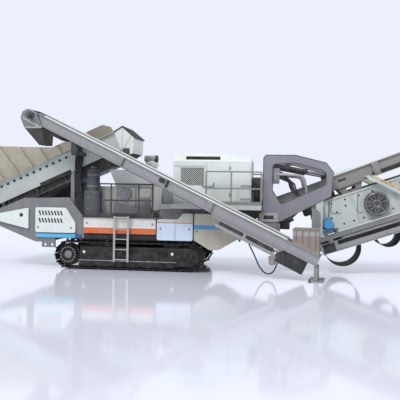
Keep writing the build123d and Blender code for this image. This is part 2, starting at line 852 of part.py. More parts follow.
# Feeder posts: uprights from the chassis cross members to the feeder's underside
nose_member_x = nose_tip_x + cross_member_width
nose_member_top = nose_tip_low_height + cross_member_depth / 2
with BuildPart() as posts:
    for sign in sides.values():
        low, high = sorted((sign * (feeder_half_width - post_depth), sign * feeder_half_width))
        for x, foot in ((nose_member_x, nose_member_top), (post_x, deck_height)):
            box(x - post_width / 2, x + post_width / 2, low, high, foot, hopper_rim_height)
    bulkhead_y = feeder_half_width - post_depth
    box(nose_member_x, post_x, bulkhead_y, bulkhead_y + bulkhead_plate,
        nose_shoulder_height, hopper_rim_height)
    brace_run = Vector(post_x - nose_shoulder_x, brace_rise)
    brace_square = brace_run.normalized().rotate(Axis.Z, 90) * brace_depth
    brace_foot = Vector(nose_shoulder_x, nose_shoulder_height - brace_depth)
    with BuildSketch(mid_plane(post_depth - feeder_half_width)):
        with BuildLine():
            Polyline(brace_foot, brace_foot + brace_run, brace_foot + brace_run + brace_square,
                     brace_foot + brace_square, close=True)
        make_face()
    extrude(amount=brace_depth)
    trim_half = feeder_half_width + overrun
    with BuildSketch(slope_plane(feeder_tail_x, feeder_tail_height, trim_half, feeder_angle)):
        with Locations((feeder_length / 2, 4 * feeder_depth - seat_gap)):
            Rectangle(2 * feeder_length, 8 * feeder_depth)
    extrude(amount=2 * trim_half, mode=Mode.SUBTRACT)
save(posts.part, "feeder_posts")

# Crusher platform: a deck across the chassis, open under the crusher, with ears for the ladder's hinge
deck_top = deck_height + platform_plate
throat_left_x = crusher_left_x + crusher_plate
throat_right_x = crusher_left_x + (crusher_right_x - crusher_left_x) * (1 - crusher_throat_share)
throat_half = crusher_half_width - crusher_plate
hinge_y = -platform_half_width - ladder_ear + ladder_clearance
hinge_z = deck_top - platform_plate / 2
ear_left_x = ladder_left_x - ladder_clearance - platform_plate
ear_right_x = ladder_left_x + ladder_width + ladder_clearance
with BuildPart() as platform:
    box(deck_front_x, deck_rear_x, -platform_half_width, platform_half_width, deck_height, deck_top)
    with Locations(((throat_left_x + throat_right_x) / 2, mid_y, deck_height)):
        Box(throat_right_x - throat_left_x, 2 * throat_half, 2 * overrun, mode=Mode.SUBTRACT)
    for ear_x in (ear_left_x, ear_right_x):
        box(ear_x, ear_x + platform_plate, hinge_y - ladder_ear / 2, platform_lip - platform_half_width,
            hinge_z - ladder_ear / 2, hinge_z + ladder_ear / 2)
    pin_start = (ear_left_x - overrun, mid_y + hinge_y, hinge_z)
    pin_plane = Plane(origin=pin_start, x_dir=(0, 1, 0), z_dir=(1, 0, 0))
    with BuildSketch(pin_plane):
        Circle(ladder_pin_radius + pin_gap)
    extrude(amount=ladder_width + 4 * overrun, mode=Mode.SUBTRACT)
save(platform.part, "crusher_platform")

# Ladder: two stringers with round rungs, on stub pins in the platform's ears
stringer_low = ladder_foot_height
stringer_high = hinge_z + ladder_ear / 2
with BuildPart() as ladder:
    for left in (ladder_left_x, ladder_left_x + ladder_width - ladder_stringer_width):
        box(left, left + ladder_stringer_width, hinge_y - ladder_stringer_depth / 2,
            hinge_y + ladder_stringer_depth / 2, stringer_low, stringer_high)
    for rung in range(ladder_rung_count):
        rung_z = stringer_low + ladder_ear + rung * ladder_rung_pitch
        rung_start = (ladder_left_x, mid_y + hinge_y, rung_z)
        with BuildSketch(Plane(origin=rung_start, x_dir=(0, 1, 0), z_dir=(1, 0, 0))):
            Circle(ladder_rung_radius)
        extrude(amount=ladder_width)
    stub = ladder_clearance + platform_plate
    with BuildSketch(Plane(origin=(ear_left_x, mid_y + hinge_y, hinge_z), x_dir=(0, 1, 0), z_dir=(1, 0, 0))):
        Circle(ladder_pin_radius)
    extrude(amount=ladder_width + 2 * stub)
save(ladder.part, "ladder")

# Crusher frame: four heavy walls round the chamber
with BuildPart() as crusher_frame:
    box(crusher_left_x, crusher_right_x, -crusher_half_width, crusher_half_width,
        deck_top, crusher_top_height)
    with Locations(((crusher_left_x + crusher_right_x) / 2, mid_y, deck_top)):
        Box(crusher_right_x - crusher_left_x - 2 * crusher_plate, 2 * throat_half,
            2 * (crusher_top_height - deck_top + overrun), mode=Mode.SUBTRACT)
    with BuildSketch(mid_plane(crusher_half_width + crusher_rib)):
        with Locations(((crusher_left_x + crusher_right_x) / 2, (deck_top + crusher_top_height) / 2)):
            with GridLocations((crusher_right_x - crusher_left_x - crusher_plate) / 2, 0, 3, 1):
                Rectangle(crusher_plate, crusher_top_height - deck_top)
    extrude(amount=crusher_rib)
    with BuildSketch(mid_plane(-crusher_half_width)):
        with Locations(((crusher_left_x + crusher_right_x) / 2, (deck_top + crusher_top_height) / 2)):
            with GridLocations((crusher_right_x - crusher_left_x - crusher_plate) / 2, 0, 3, 1):
                Rectangle(crusher_plate, crusher_top_height - deck_top)
    extrude(amount=crusher_rib)
save(crusher_frame.part, "crusher_frame")

# Jaws: an upright fixed jaw on the front wall and a leaning swing jaw from the rear wall to the throat
jaw_half = throat_half - jaw_clearance
chamber_right_x = crusher_right_x - crusher_plate
with BuildPart() as jaws:
    with BuildSketch(mid_plane(jaw_half)):
        with BuildLine():
            Polyline(
                (throat_left_x, deck_top), (throat_left_x, crusher_top_height),
                (throat_left_x + jaw_thickness, crusher_top_height),
                (throat_left_x + jaw_thickness, deck_top), close=True)
        make_face()
        with BuildLine():
            Polyline(
                (chamber_right_x, deck_top + jaw_thickness), (chamber_right_x, crusher_top_height),
                (chamber_right_x - jaw_thickness, crusher_top_height),
                (throat_left_x + 3 * jaw_thickness, deck_top + jaw_clearance),
                (throat_left_x + 4 * jaw_thickness, deck_top + jaw_clearance), close=True)
        make_face()
    extrude(amount=2 * jaw_half)
save(jaws.part, "crusher_jaws")

# Inlet funnel on the crusher's rim
with BuildPart() as inlet:
    for grow, how in ((0, Mode.ADD), (inlet_plate, Mode.SUBTRACT)):
        with BuildSketch(Plane.XY.offset(crusher_top_height)):
            with Locations(((crusher_left_x + crusher_right_x) / 2, mid_y)):
                Rectangle(crusher_right_x - crusher_left_x - 2 * grow, 2 * (crusher_half_width - grow))
        with BuildSketch(Plane.XY.offset(inlet_top_height)):
            with Locations(((inlet_left_x + inlet_right_x) / 2, mid_y)):
                Rectangle(inlet_right_x - inlet_left_x - 2 * grow, 2 * (inlet_half_width - grow))
        loft(ruled=True, mode=how)
save(inlet.part, "crusher_inlet")

# Belt guards on both ends of the crusher's shaft
shaft_x = guard_left_x + guard_depth * guard_shaft_share
shaft_z = (guard_low_height + guard_high_height) / 2
with BuildPart() as guards:
    for sign in sides.values():
        with BuildSketch(slab_plane(sign, guard_outer_y, guard_depth)) as outline:
            with Locations(((guard_left_x + guard_right_x) / 2, shaft_z)):
                RectangleRounded(guard_right_x - guard_left_x, guard_high_height - guard_low_height,
                                 guard_depth)
        extrude(amount=guard_depth)
        stub_y = crusher_half_width + crusher_rib + seat_gap
        low, high = sorted((sign * stub_y, sign * (guard_outer_y - guard_depth)))
        with BuildSketch(mid_plane(high)):
            with Locations((shaft_x, shaft_z)):
                Circle(guard_depth / 2)
        extrude(amount=high - low)
save(guards.part, "belt_guards")

# Oil tank: a square base and a round upper part with a filler neck
with BuildPart() as tank:
    box(tank_x - tank_box_width / 2, tank_x + tank_box_width / 2, tank_y - tank_box_width / 2,
        tank_y + tank_box_width / 2, deck_top, deck_top + tank_box_height)
    with BuildSketch(Plane.XY.offset(deck_top + tank_box_height)):
        with Locations((tank_x, mid_y + tank_y)):
            Circle(tank_radius)
    extrude(amount=tank_height - tank_box_height)
    with BuildSketch(Plane.XY.offset(deck_top + tank_height)):
        with Locations((tank_x, mid_y + tank_y)):
            Circle(tank_neck_radius)
    extrude(amount=tank_neck_height)
save(tank.part, "oil_tank")


def handrail(left, right, y, floor, share_list):
    """A welded tube rail: a top and a middle tube on posts, with a toe board."""
    half = rail_tube / 2
    for share in (1.0, rail_middle_share):
        tube_z = floor + share * rail_height
        box(left, right, y - half, y + half, tube_z - half, tube_z + half)
    for share in share_list:
        x = left + half + share * (right - left - rail_tube)
        box(x - half, x + half, y - half, y + half, floor, floor + rail_height)
    box(left, right, y - half / 2, y + half / 2, floor, floor + toe_board_height)


with BuildPart() as crusher_rails:
    for sign in sides.values():
        handrail(crusher_rail_left_x, crusher_rail_right_x, sign * (platform_half_width - rail_tube),
                 deck_top, rail_post_shares)
save(crusher_rails.part, "crusher_handrails")

# Power pack platform: a deck with skirts on the chassis and a valve box, notched for the main conveyor
pack_deck_top = pack_platform_low_height + pack_platform_depth
with BuildPart() as pack_platform:
    box(pack_platform_left_x, pack_platform_right_x, -platform_half_width, platform_half_width,
        pack_platform_low_height, pack_deck_top)
    box(pack_platform_left_x, pack_left_x - valve_box_gap, -pack_half_width, pack_half_width,
        pack_deck_top, pack_deck_top + valve_box_height)
    notch_length = 2 * (pack_platform_right_x - pack_notch_left_x)
    with Locations((pack_notch_left_x + notch_length / 2, mid_y, pack_platform_low_height)):
        Box(notch_length, 2 * pack_notch_half_width, 4 * pack_platform_depth, mode=Mode.SUBTRACT)
    for sign in sides.values():
        low, high = sorted((sign * chassis_inner_y, sign * chassis_half_width))
        box(deck_rise_x, tail_top_x, low, high, tail_deck_height, pack_platform_low_height)
save(pack_platform.part, "power_pack_platform")

# Power pack housing: a sheet metal box with a sloping roof end, a vent and a roof grille
pack_points = [(pack_left_x + u * pack_length, pack_deck_top + v * pack_height) for u, v in pack_shares]
with BuildPart() as pack:
    with BuildSketch(mid_plane(pack_half_width)):
        with BuildLine():
            Polyline(*pack_points, close=True)
        make_face()
    extrude(amount=2 * pack_half_width)
    roof_top = pack_deck_top + pack_height
    for sign in sides.values():
        with BuildSketch(Plane.YZ.offset(pack_left_x)):
            with BuildLine():
                Polyline(
                    (mid_y + sign * pack_half_width, roof_top - pack_roof_slope),
                    (mid_y + sign * pack_half_width, roof_top),
                    (mid_y + sign * (pack_half_width - pack_roof_inset), roof_top), close=True)
            make_face()
        extrude(amount=pack_length, mode=Mode.SUBTRACT)
        with BuildSketch(mid_plane(sign * pack_half_width)):
            with Locations((pack_vent_left_x + pack_vent_width / 2,
                            pack_vent_low_height + pack_vent_height / 2)):
                Rectangle(pack_vent_width, pack_vent_height)
        extrude(amount=sign * pack_vent_depth, mode=Mode.SUBTRACT)
        with BuildSketch(mid_plane(sign * pack_half_width)):
            with Locations((pack_grille_left_x + pack_grille_width / 2,
                            pack_grille_low_height + pack_grille_height / 2)):
                Rectangle(pack_grille_width, pack_grille_height)
        extrude(amount=sign * pack_grille_depth, mode=Mode.SUBTRACT)
save(pack.part, "power_pack_housing")

# Oil cooler behind the power pack, a tower on each side joined over the main conveyor
with BuildPart() as cooler:
    for sign in sides.values():
        low, high = sorted((sign * pack_notch_half_width, sign * cooler_half_width))
        box(cooler_left_x, cooler_right_x, low, high, pack_deck_top, pack_deck_top + cooler_height)
    box(cooler_left_x, cooler_right_x, -pack_notch_half_width, pack_notch_half_width,
        pack_deck_top + cooler_height / 2, pack_deck_top + cooler_height)
save(cooler.part, "oil_cooler")

with BuildPart() as pack_rails:
    for sign in sides.values():
        handrail(pack_rail_left_x, pack_platform_right_x, sign * (platform_half_width - rail_tube / 2),
                 pack_deck_top, pack_rail_post_shares)
save(pack_rails.part, "power_pack_handrails")

# Exhaust stack: a pipe from the platform, a silencer drum and a rain cap
with BuildPart() as exhaust:
    with BuildSketch(Plane(origin=(exhaust_x, mid_y + exhaust_y, 0), x_dir=(1, 0, 0), z_dir=(0, -1, 0))):
        drum_top = exhaust_drum_low_height + exhaust_drum_height
        with BuildLine():
            Polyline(
                (0, deck_top), (exhaust_pipe_radius, deck_top),
                (exhaust_pipe_radius, exhaust_drum_low_height),
                (exhaust_drum_radius, exhaust_drum_low_height + exhaust_pipe_radius),
                (exhaust_drum_radius, drum_top), (exhaust_cap_radius, drum_top),
                (exhaust_cap_radius, drum_top + exhaust_cap_height / 2),
                (exhaust_pipe_radius, drum_top + exhaust_cap_height),
                (0, drum_top + exhaust_cap_height), close=True)
        make_face()
    revolve(axis=Axis((exhaust_x, mid_y + exhaust_y, 0), (0, 0, 1)))
save(exhaust.part, "exhaust_stack")

# Boom frame plates with their windows, and the tubes between them
boom_points, window_points = [
    [(boom_left_x + u * boom_length, boom_seat_height + v * boom_height) for u, v in shares]
    for shares in (boom_shares, boom_window_shares)]
for side, sign in sides.items():
    with BuildPart() as boom:
        with BuildSketch(slab_plane(sign, boom_half_width, boom_plate)):
            with BuildLine():
                Polyline(*boom_points, close=True)
            make_face()
        extrude(amount=boom_plate)
        with BuildSketch(slab_plane(sign, boom_half_width, boom_plate)) as window:
            with BuildLine():
                Polyline(*window_points, close=True)
            make_face()
            fillet(window.vertices(), boom_corner)
        extrude(amount=boom_plate, mode=Mode.SUBTRACT)
    save(boom.part, f"boom_frame_{side}")
boom_inner = boom_half_width - boom_plate
with BuildPart() as boom_tubes:
    with BuildSketch(mid_plane(boom_inner)):
        for u, v in boom_tube_shares:
            with Locations((boom_left_x + u * boom_length, boom_seat_height + v * boom_height)):
                Circle(boom_tube_radius)
    extrude(amount=2 * boom_inner)
save(boom_tubes.part, "boom_cross_tubes")

def conveyor_frame(plane, length, depth, half_width, bar_shares):
    """Two channels with outward flanges, joined by cross bars along their lower edge."""
    with BuildPart() as frame:
        for web_start, flange_start in ((half_width - channel_web, half_width),
                                        (-half_width, -half_width - channel_flange)):
            with BuildSketch(plane.offset(web_start)):
                with Locations((length / 2, -depth / 2)):
                    Rectangle(length, depth)
            extrude(amount=channel_web)
            with BuildSketch(plane.offset(flange_start)):
                with Locations((length / 2, -channel_web / 2), (length / 2, channel_web / 2 - depth)):
                    Rectangle(length, channel_web)
            extrude(amount=channel_flange)
        with BuildSketch(plane.offset(channel_web - half_width)):
            for share in bar_shares:
                with Locations((share * length, channel_bar / 2 - depth)):
                    Rectangle(2 * channel_bar, channel_bar)
        extrude(amount=2 * (half_width - channel_web))
    return frame.part


def with_slack(belt, plane, level, width):
    """The belt together with the slack bights that hang under its frame."""
    with BuildPart() as bights:
        add(belt)
        with BuildSketch(plane):
            for (first_share, last_share), depth in zip(slack_bar_shares, slack_depths):
                start = first_share * product_length
                end = last_share * product_length
                middle = (start + end) / 2
                with BuildLine():
                    ThreePointArc((start, level), (middle, level - depth), (end, level))
                    Line((end, level), (end - belt_thickness, level))
                    ThreePointArc((end - belt_thickness, level), (middle, level - depth + belt_thickness),
                                  (start + belt_thickness, level))
                    Line((start + belt_thickness, level), (start, level))
                make_face()
        extrude(amount=width)
    return bights.part


product_low = on_slope(screen_low_x, screen_low_height, screen_angle, product_tail_reach,
                       subframe_high - subframe_depth - subframe_beam_width)
product_plane = slope_plane(product_low[0], product_low[1], 0, screen_angle)
return_head = Vector(return_head_x, mid_y + return_head_y, return_head_height)
return_tail = Vector(return_tail_x, mid_y + return_tail_y, return_tail_height)
return_run = return_tail - return_head
return_across = Vector(0, 0, 1).cross(return_run).normalized() * -1
return_plane = Plane(origin=return_head, x_dir=return_run, z_dir=return_across)
return_length = return_run.length
conveyors = (
    (main_plane, main_length, main_depth, main_half_width),
    (product_plane, product_length, product_depth, product_half_width),
    (return_plane, return_length, return_depth, return_half_width),
)
gusset_start = (gusset_left_x - main_tail_x) / cos(radians(main_angle))
gusset_end = gusset_start + gusset_length
with BuildPart() as main_frame:
    add(conveyor_frame(*conveyors[0], main_bar_shares))
    for web_start in (main_half_width - channel_web, -main_half_width):
        with BuildSketch(main_plane.offset(web_start)):
            with BuildLine():
                Polyline(
                    (gusset_start, -main_depth),
                    (gusset_start + gusset_depth / 2, -main_depth - gusset_depth),
                    (gusset_end - gusset_depth / 2, -main_depth - gusset_depth),
                    (gusset_end, -main_depth), close=True)
            make_face()
            with Locations(((gusset_start + gusset_end) / 2, -main_depth - gusset_depth / 2)):
                SlotOverall(gusset_slot_length, gusset_slot_height, mode=Mode.SUBTRACT)
        extrude(amount=channel_web)
save(main_frame.part, "main_conveyor_frame")
save(conveyor_frame(*conveyors[1], product_bar_shares), "product_conveyor_frame")

# Return conveyor frame, deepened below its lower part by a slotted truss plate on each side
truss_left = truss_start_share * return_length
truss_length = (truss_end_share - truss_start_share) * return_length
with BuildPart() as return_frame:
    add(conveyor_frame(*conveyors[2], return_bar_shares))
    for web_start in (return_half_width - channel_web, -return_half_width):
        with BuildSketch(return_plane.offset(web_start)):
            with BuildLine():
                Polyline(
                    (truss_left, -return_depth), (truss_left + truss_depth, -return_depth - truss_depth),
                    (truss_left + truss_length - truss_depth, -return_depth - truss_depth),
                    (truss_left + truss_length, -return_depth), close=True)
            make_face()
            for place, reach in truss_slot_shares:
                with Locations((truss_left + place * truss_length, -return_depth - truss_depth / 2)):
                    SlotOverall(reach * truss_length, truss_slot_height, mode=Mode.SUBTRACT)
        extrude(amount=channel_web)
save(return_frame.part, "return_conveyor_frame")

# Belts and drums of the three conveyors, and the feeder's own two drums
feeder_shaft_half = feeder_half_width - feeder_plate
with BuildPart() as drums:
    with BuildSketch(mid_plane(feeder_belt_half_width)):
        with Locations(drum_tail, drum_head):
            Circle(feeder_drum_radius)
    extrude(amount=2 * feeder_belt_half_width)
    with BuildSketch(mid_plane(feeder_shaft_half)):
        with Locations(drum_tail, drum_head):
            Circle(shaft_radius)
    extrude(amount=2 * feeder_shaft_half)
    for name, (plane, length, depth, half_width) in zip(("main", "product", "return"), conveyors):
        drum_radius = depth / 2 - belt_drum_margin
        span = length - 2 * drum_end_inset
        axis_plane = plane.shift_origin(plane.from_local_coords((drum_end_inset, -depth / 2)))
        belt_half = half_width - channel_web - belt_side_gap
        belt = belt_loop(axis_plane.offset(-belt_half), span, drum_radius, belt_thickness, 2 * belt_half)
        if name == "product":
            belt = with_slack(belt, plane.offset(-belt_half), -depth - seat_gap, 2 * belt_half)
        save(belt, f"{name}_conveyor_belt")
        with BuildSketch(axis_plane.offset(-belt_half)):
            with Locations((0, 0), (span, 0)):
                Circle(drum_radius)
        extrude(amount=2 * belt_half)
        with BuildSketch(axis_plane.offset(channel_web - half_width)):
            with Locations((0, 0), (span, 0)):
                Circle(shaft_radius)
        extrude(amount=2 * (half_width - channel_web))
save(drums.part, "conveyor_drums")

# Screen side plates with a stiffened lower edge and brackets over the springs
def screen_plane(y):
    """Side plane of the screen, x along its lower edge."""
    return slope_plane(screen_low_x, screen_low_height, y, screen_angle)


bracket_middle_y = (subframe_inner_y + subframe_outer_y) / 2
spring_stations = [share * screen_length for share in spring_along_shares]
with BuildPart() as screen_sides:
    for sign in sides.values():
        plate_y = screen_half_width if sign > 0 else screen_plate - screen_half_width
        with BuildSketch(screen_plane(plate_y)):
            with BuildLine():
                Polyline(
                    (0, 0), (screen_lean, screen_depth - screen_corner),
                    (screen_lean + screen_corner, screen_depth), (screen_length, screen_depth),
                    (screen_length, 0), close=True)
            make_face()
            with Locations((exciter_along, exciter_across)):
                Circle(exciter_shaft_radius + exciter_shaft_clearance, mode=Mode.SUBTRACT)
        extrude(amount=screen_plate)
        low, high = sorted((sign * screen_half_width, sign * (screen_half_width + screen_plate)))
        with BuildSketch(screen_plane(high)):
            with Locations((screen_length / 2, screen_edge_height / 2)):
                Rectangle(screen_length, screen_edge_height)
        extrude(amount=high - low)
        low, high = sorted((sign * screen_half_width, sign * subframe_outer_y))
        with BuildSketch(screen_plane(high)):
            for station in spring_stations:
                with Locations((station, screen_deck_low + spring_bracket / 2)):
                    Rectangle(3 * spring_radius, spring_bracket)
        extrude(amount=high - low)
save(screen_sides.part, "screen_sides")

# Screen decks between the side plates
screen_inner = screen_half_width - screen_plate
with BuildPart() as decks:
    with BuildSketch(screen_plane(screen_inner)):
        for across in (screen_deck_low, screen_deck_high):
            with Locations((screen_length / 2 + screen_lean, across)):
                Rectangle(screen_length - 2 * screen_lean, screen_deck_thickness)
    extrude(amount=2 * screen_inner)
save(decks.part, "screen_decks")

# Exciter: a tube between the plates, and the shaft with a ribbed flywheel on each end
with BuildPart() as exciter_tube:
    with BuildSketch(screen_plane(screen_inner)):
        with Locations((exciter_along, exciter_across)):
            Circle(exciter_tube_radius)
            Circle(exciter_shaft_radius + pin_gap, mode=Mode.SUBTRACT)
    extrude(amount=2 * screen_inner)
save(exciter_tube.part, "exciter_tube")
flywheel_inner = screen_half_width + flywheel_gap
flywheel_outer = flywheel_inner + flywheel_width
with BuildPart() as rotor:
    with BuildSketch(screen_plane(flywheel_outer)):
        with Locations((exciter_along, exciter_across)):
            Circle(exciter_shaft_radius)
    extrude(amount=2 * flywheel_outer)
    for sign in sides.values():
        low, high = sorted((sign * flywheel_inner, sign * flywheel_outer))
        with BuildSketch(screen_plane(high)):
            with Locations((exciter_along, exciter_across)):
                Circle(flywheel_radius)
        extrude(amount=flywheel_width)
        with BuildSketch(screen_plane(sign * flywheel_outer)):
            with Locations((exciter_along, exciter_across)):
                Circle(flywheel_radius - flywheel_rim)
                Circle(flywheel_hub_radius, mode=Mode.SUBTRACT)
                rib_reach = (flywheel_radius - flywheel_rim + flywheel_hub_radius) / 2
                with PolarLocations(rib_reach, flywheel_rib_count):
                    Rectangle(flywheel_radius, flywheel_rib_width, mode=Mode.SUBTRACT)
        extrude(amount=sign * flywheel_dish, mode=Mode.SUBTRACT)
save(rotor.part, "exciter_rotor")

# Springs under the brackets, on a subframe of two rails and two cross beams
spring_height = screen_deck_low - subframe_high
with BuildPart() as springs:
    for sign in sides.values():
        for station in spring_stations:
            foot = screen_plane(sign * bracket_middle_y).from_local_coords((station, subframe_high))
            with BuildSketch(Plane(origin=foot, x_dir=(0, 1, 0), z_dir=(-sin(radians(screen_angle)), 0,
                                                                       cos(radians(screen_angle))))):
                Circle(spring_radius)
            extrude(amount=spring_height)
save(springs.part, "screen_springs")
subframe_span = subframe_end - subframe_start
with BuildPart() as subframe:
    for sign in sides.values():
        low, high = sorted((sign * subframe_inner_y, sign * subframe_outer_y))
        with BuildSketch(screen_plane(high)):
            with Locations((subframe_start + subframe_span / 2, subframe_high - subframe_depth / 2)):
                Rectangle(subframe_span, subframe_depth)
        extrude(amount=high - low)
    with BuildSketch(screen_plane(subframe_outer_y)):
        for share in subframe_beam_shares:
            with Locations((subframe_start + share * subframe_span,
                            subframe_high - subframe_depth - subframe_beam_width / 2)):
                Rectangle(subframe_beam_width, subframe_beam_width)
    extrude(amount=2 * subframe_outer_y)
save(subframe.part, "screen_subframe")

# Suspension: plates from the boom frame down to the rails, and struts from the main conveyor to their far end


def boom_edge(x):
    """Height of the boom frame's sloping lower edge."""
    (x0, z0), (x1, z1) = boom_points[9], boom_points[8]
    return z0 + (x - x0) * (z1 - z0) / (x1 - x0) - seat_gap


def rail_line(x, across):
    """Height of a line along the subframe rail at a station x."""
    slope = tan(radians(screen_angle))
    return screen_low_height + (x - screen_low_x) * slope + across / cos(radians(screen_angle))


hanger_low = subframe_high + seat_gap
strut_drop = main_depth - channel_web - strut_width / 2 - seat_gap
strut_top = Vector(strut_top_x, main_gauge_height + (strut_top_x - main_gauge_x) * tan(radians(main_angle))
                   - strut_drop / cos(radians(main_angle)))
strut_foot = Vector(strut_low_x, rail_line(strut_low_x, subframe_high - subframe_depth / 2))
strut_square = (strut_foot - strut_top).normalized().rotate(Axis.Z, 90) * (strut_width / 2)
with BuildPart() as suspension:
    for sign in sides.values():
        with BuildSketch(slab_plane(sign, boom_half_width, boom_plate)):
            with BuildLine():
                Polyline(
                    (hanger_left_x, boom_edge(hanger_left_x)), (hanger_right_x, boom_edge(hanger_right_x)),
                    (hanger_right_x, rail_line(hanger_right_x, hanger_low)),
                    (screen_low_x, rail_line(screen_low_x, hanger_low)), close=True)
            make_face()
        extrude(amount=boom_plate)
        strut_outer = subframe_outer_y + seat_gap + strut_plate
        with BuildSketch(slab_plane(sign, strut_outer, strut_plate)):
            with BuildLine():
                Polyline(strut_top + strut_square, strut_foot + strut_square, strut_foot - strut_square,
                         strut_top - strut_square, close=True)
            make_face()
        extrude(amount=strut_plate)
        low, high = sorted((sign * (main_half_width + seat_gap), sign * strut_outer))
        with BuildSketch(mid_plane(high)):
            with Locations((strut_top.X, strut_top.Y)):
                Circle(strut_width / 2)
        extrude(amount=high - low)
save(suspension.part, "screen_suspension")

# Drive motor on the near side plate
with BuildPart() as motor:
    with BuildSketch(mid_plane(-screen_half_width)):
        with Locations((motor_x, motor_height)):
            Circle(motor_radius)
    extrude(amount=motor_length)
save(motor.part, "screen_motor")

# Head chute: a hood round the head drum over a funnel that leans in above the hopper
chute_plan = Vector(return_run.X, return_run.Y, 0).normalized()
chute_plane = Plane(origin=return_head, x_dir=chute_plan, z_dir=return_across)
chute_half = return_half_width + channel_flange + seat_gap
chute_points = [
    (u * (chute_back if u > 0 else chute_front), v * chute_hood_height) for u, v in chute_hood_shares]
with BuildPart() as chute:
    for start in (chute_half, -chute_half - chute_plate):
        with BuildSketch(chute_plane.offset(start)):
            with BuildLine():
                Polyline(*chute_points, close=True)
            make_face()
        extrude(amount=chute_plate)
    with BuildSketch(chute_plane.offset(-chute_half)):
        with BuildLine():
            front_line = [chute_points[place] for place in (0, 5, 4, 3)]
            Polyline(*front_line, *[(u + chute_plate, v) for u, v in reversed(front_line)], close=True)
        make_face()
    extrude(amount=2 * chute_half)
    throat = (chute_points[2][0] + chute_points[3][0]) / 2
    throat_length = chute_points[2][0] - chute_points[3][0]
    for grow, how in ((0, Mode.ADD), (chute_plate, Mode.SUBTRACT)):
        mouth = chute_plane.from_local_coords((throat, -chute_hood_height, 0))
        outlet = chute_plane.from_local_coords((chute_outlet_lead, -chute_height, -chute_outlet_shift))
        with BuildSketch(Plane(origin=mouth, x_dir=chute_plan, z_dir=(0, 0, 1))):
            Rectangle(throat_length - 2 * grow, 2 * (chute_half + chute_plate - grow))
        with BuildSketch(Plane(origin=outlet, x_dir=chute_plan, z_dir=(0, 0, 1))):
            Rectangle(chute_outlet_length - 2 * grow, 2 * (chute_outlet_half_width - grow))
        loft(ruled=True, mode=how)
save(chute.part, "return_chute")

# Tail hopper: four upright walls on the channels, open above the belt
tail_plane = Plane(origin=return_tail, x_dir=chute_plan, z_dir=return_across)
tail_slope = -return_run.Z / Vector(return_run.X, return_run.Y, 0).length
tail_rise = tail_hopper_height - return_tail_height
tail_outer = return_half_width + channel_flange
with BuildPart() as tail_hopper:
    with BuildSketch(tail_plane.offset(-tail_outer)):
        with BuildLine():
            Polyline(
                (-tail_hopper_start, tail_hopper_start * tail_slope + seat_gap),
                (-tail_hopper_start, tail_rise), (-tail_hopper_end, tail_rise),
                (-tail_hopper_end, tail_hopper_end * tail_slope + seat_gap), close=True)
        make_face()
    extrude(amount=2 * tail_outer)
    inner_length = tail_hopper_start - tail_hopper_end - 2 * tail_hopper_plate
    with BuildSketch(tail_plane.offset(tail_hopper_plate - tail_outer)):
        with Locations((-(tail_hopper_start + tail_hopper_end) / 2, 0)):
            Rectangle(inner_length, 4 * tail_rise)
    extrude(amount=2 * (tail_outer - tail_hopper_plate), mode=Mode.SUBTRACT)
    deflector_rise = deflector_height - return_tail_height
    with BuildSketch(tail_plane.offset(-tail_outer)) as deflector:
        with BuildLine():
            Polyline((-deflector_start, tail_rise), (-deflector_start, deflector_rise),
                     (-deflector_end, deflector_rise), (-deflector_end, tail_rise), close=True)
        make_face()
        fillet(deflector.vertices().sort_by(Axis.Z)[-1], deflector_corner)
    extrude(amount=tail_hopper_plate)
save(tail_hopper.part, "return_tail_hopper")

# Underframe: the leg at the tail, the bracket from the feeder near the head, and a drive tray
with BuildPart() as underframe:
    leg_place = return_plane.from_local_coords((return_length - leg_inset, 0, 0))
    for start in (return_half_width - leg_width, -return_half_width):
        with BuildSketch(tail_plane.offset(start)):
            with Locations((-leg_inset, -return_tail_height / 2)):
                Rectangle(leg_width, return_tail_height)
        extrude(amount=leg_width)
    with BuildSketch(Plane(origin=(leg_place.X, leg_place.Y, 0), x_dir=chute_plan, z_dir=(0, 0, 1))):
        Rectangle(leg_foot_length, 2 * return_half_width + leg_foot_width)
    extrude(amount=leg_foot_plate)
    reach = feeder_half_width + seat_gap
    arm_share = (bracket_x - return_head_x) / (return_tail_x - return_head_x)
    arm_y = return_head_y + arm_share * (return_tail_y - return_head_y) - return_half_width
    box(bracket_x - bracket_width / 2, bracket_x + bracket_width / 2, arm_y, -reach,
        bracket_low_height, bracket_low_height + bracket_depth)
    for pad_y in (arm_y, arm_y + 2 * return_half_width - bracket_width):
        box(bracket_x - bracket_width / 2, bracket_x + bracket_width / 2, pad_y, pad_y + bracket_width,
            bracket_low_height, return_head_height)
    with BuildSketch(return_plane.offset(-return_length)):
        with Locations((return_length / 2, -seat_gap - return_depth + return_length / 2)):
            Rectangle(2 * return_length, return_length)
    extrude(amount=2 * return_length, mode=Mode.SUBTRACT)
    tray_half = return_half_width - channel_web - seat_gap
    with BuildSketch(return_plane.offset(-tray_half)):
        with Locations((return_length - tray_start, -return_depth - seat_gap - tray_depth / 2)):
            Rectangle(tray_length, tray_depth)
    extrude(amount=2 * tray_half)
save(underframe.part, "return_underframe")

# Drain hose: a tube of straight runs and tangent bends
hose_route = [Vector(x, mid_y + y, z) for x, y, z in hose_points]
hose_radii = []
for before, at, after in zip(hose_route, hose_route[1:], hose_route[2:]):
    half_turn = radians((at - before).get_angle(after - at)) / 2
    hose_radii.append(hose_bend_share * min((at - before).length, (after - at).length) / tan(half_turn))
print("hose bend radii", [round(radius) for radius in hose_radii])
with BuildPart() as hose:
    with BuildLine() as hose_line:
        FilletPolyline(*hose_route, radius=hose_radii)
    with BuildSketch(Plane(origin=hose_route[0], z_dir=hose_route[1] - hose_route[0])):
        Circle(hose_diameter / 2)
    sweep(path=hose_line.wire())
print("hose length", round(hose_line.wire().length))
save(hose.part, "drain_hose")
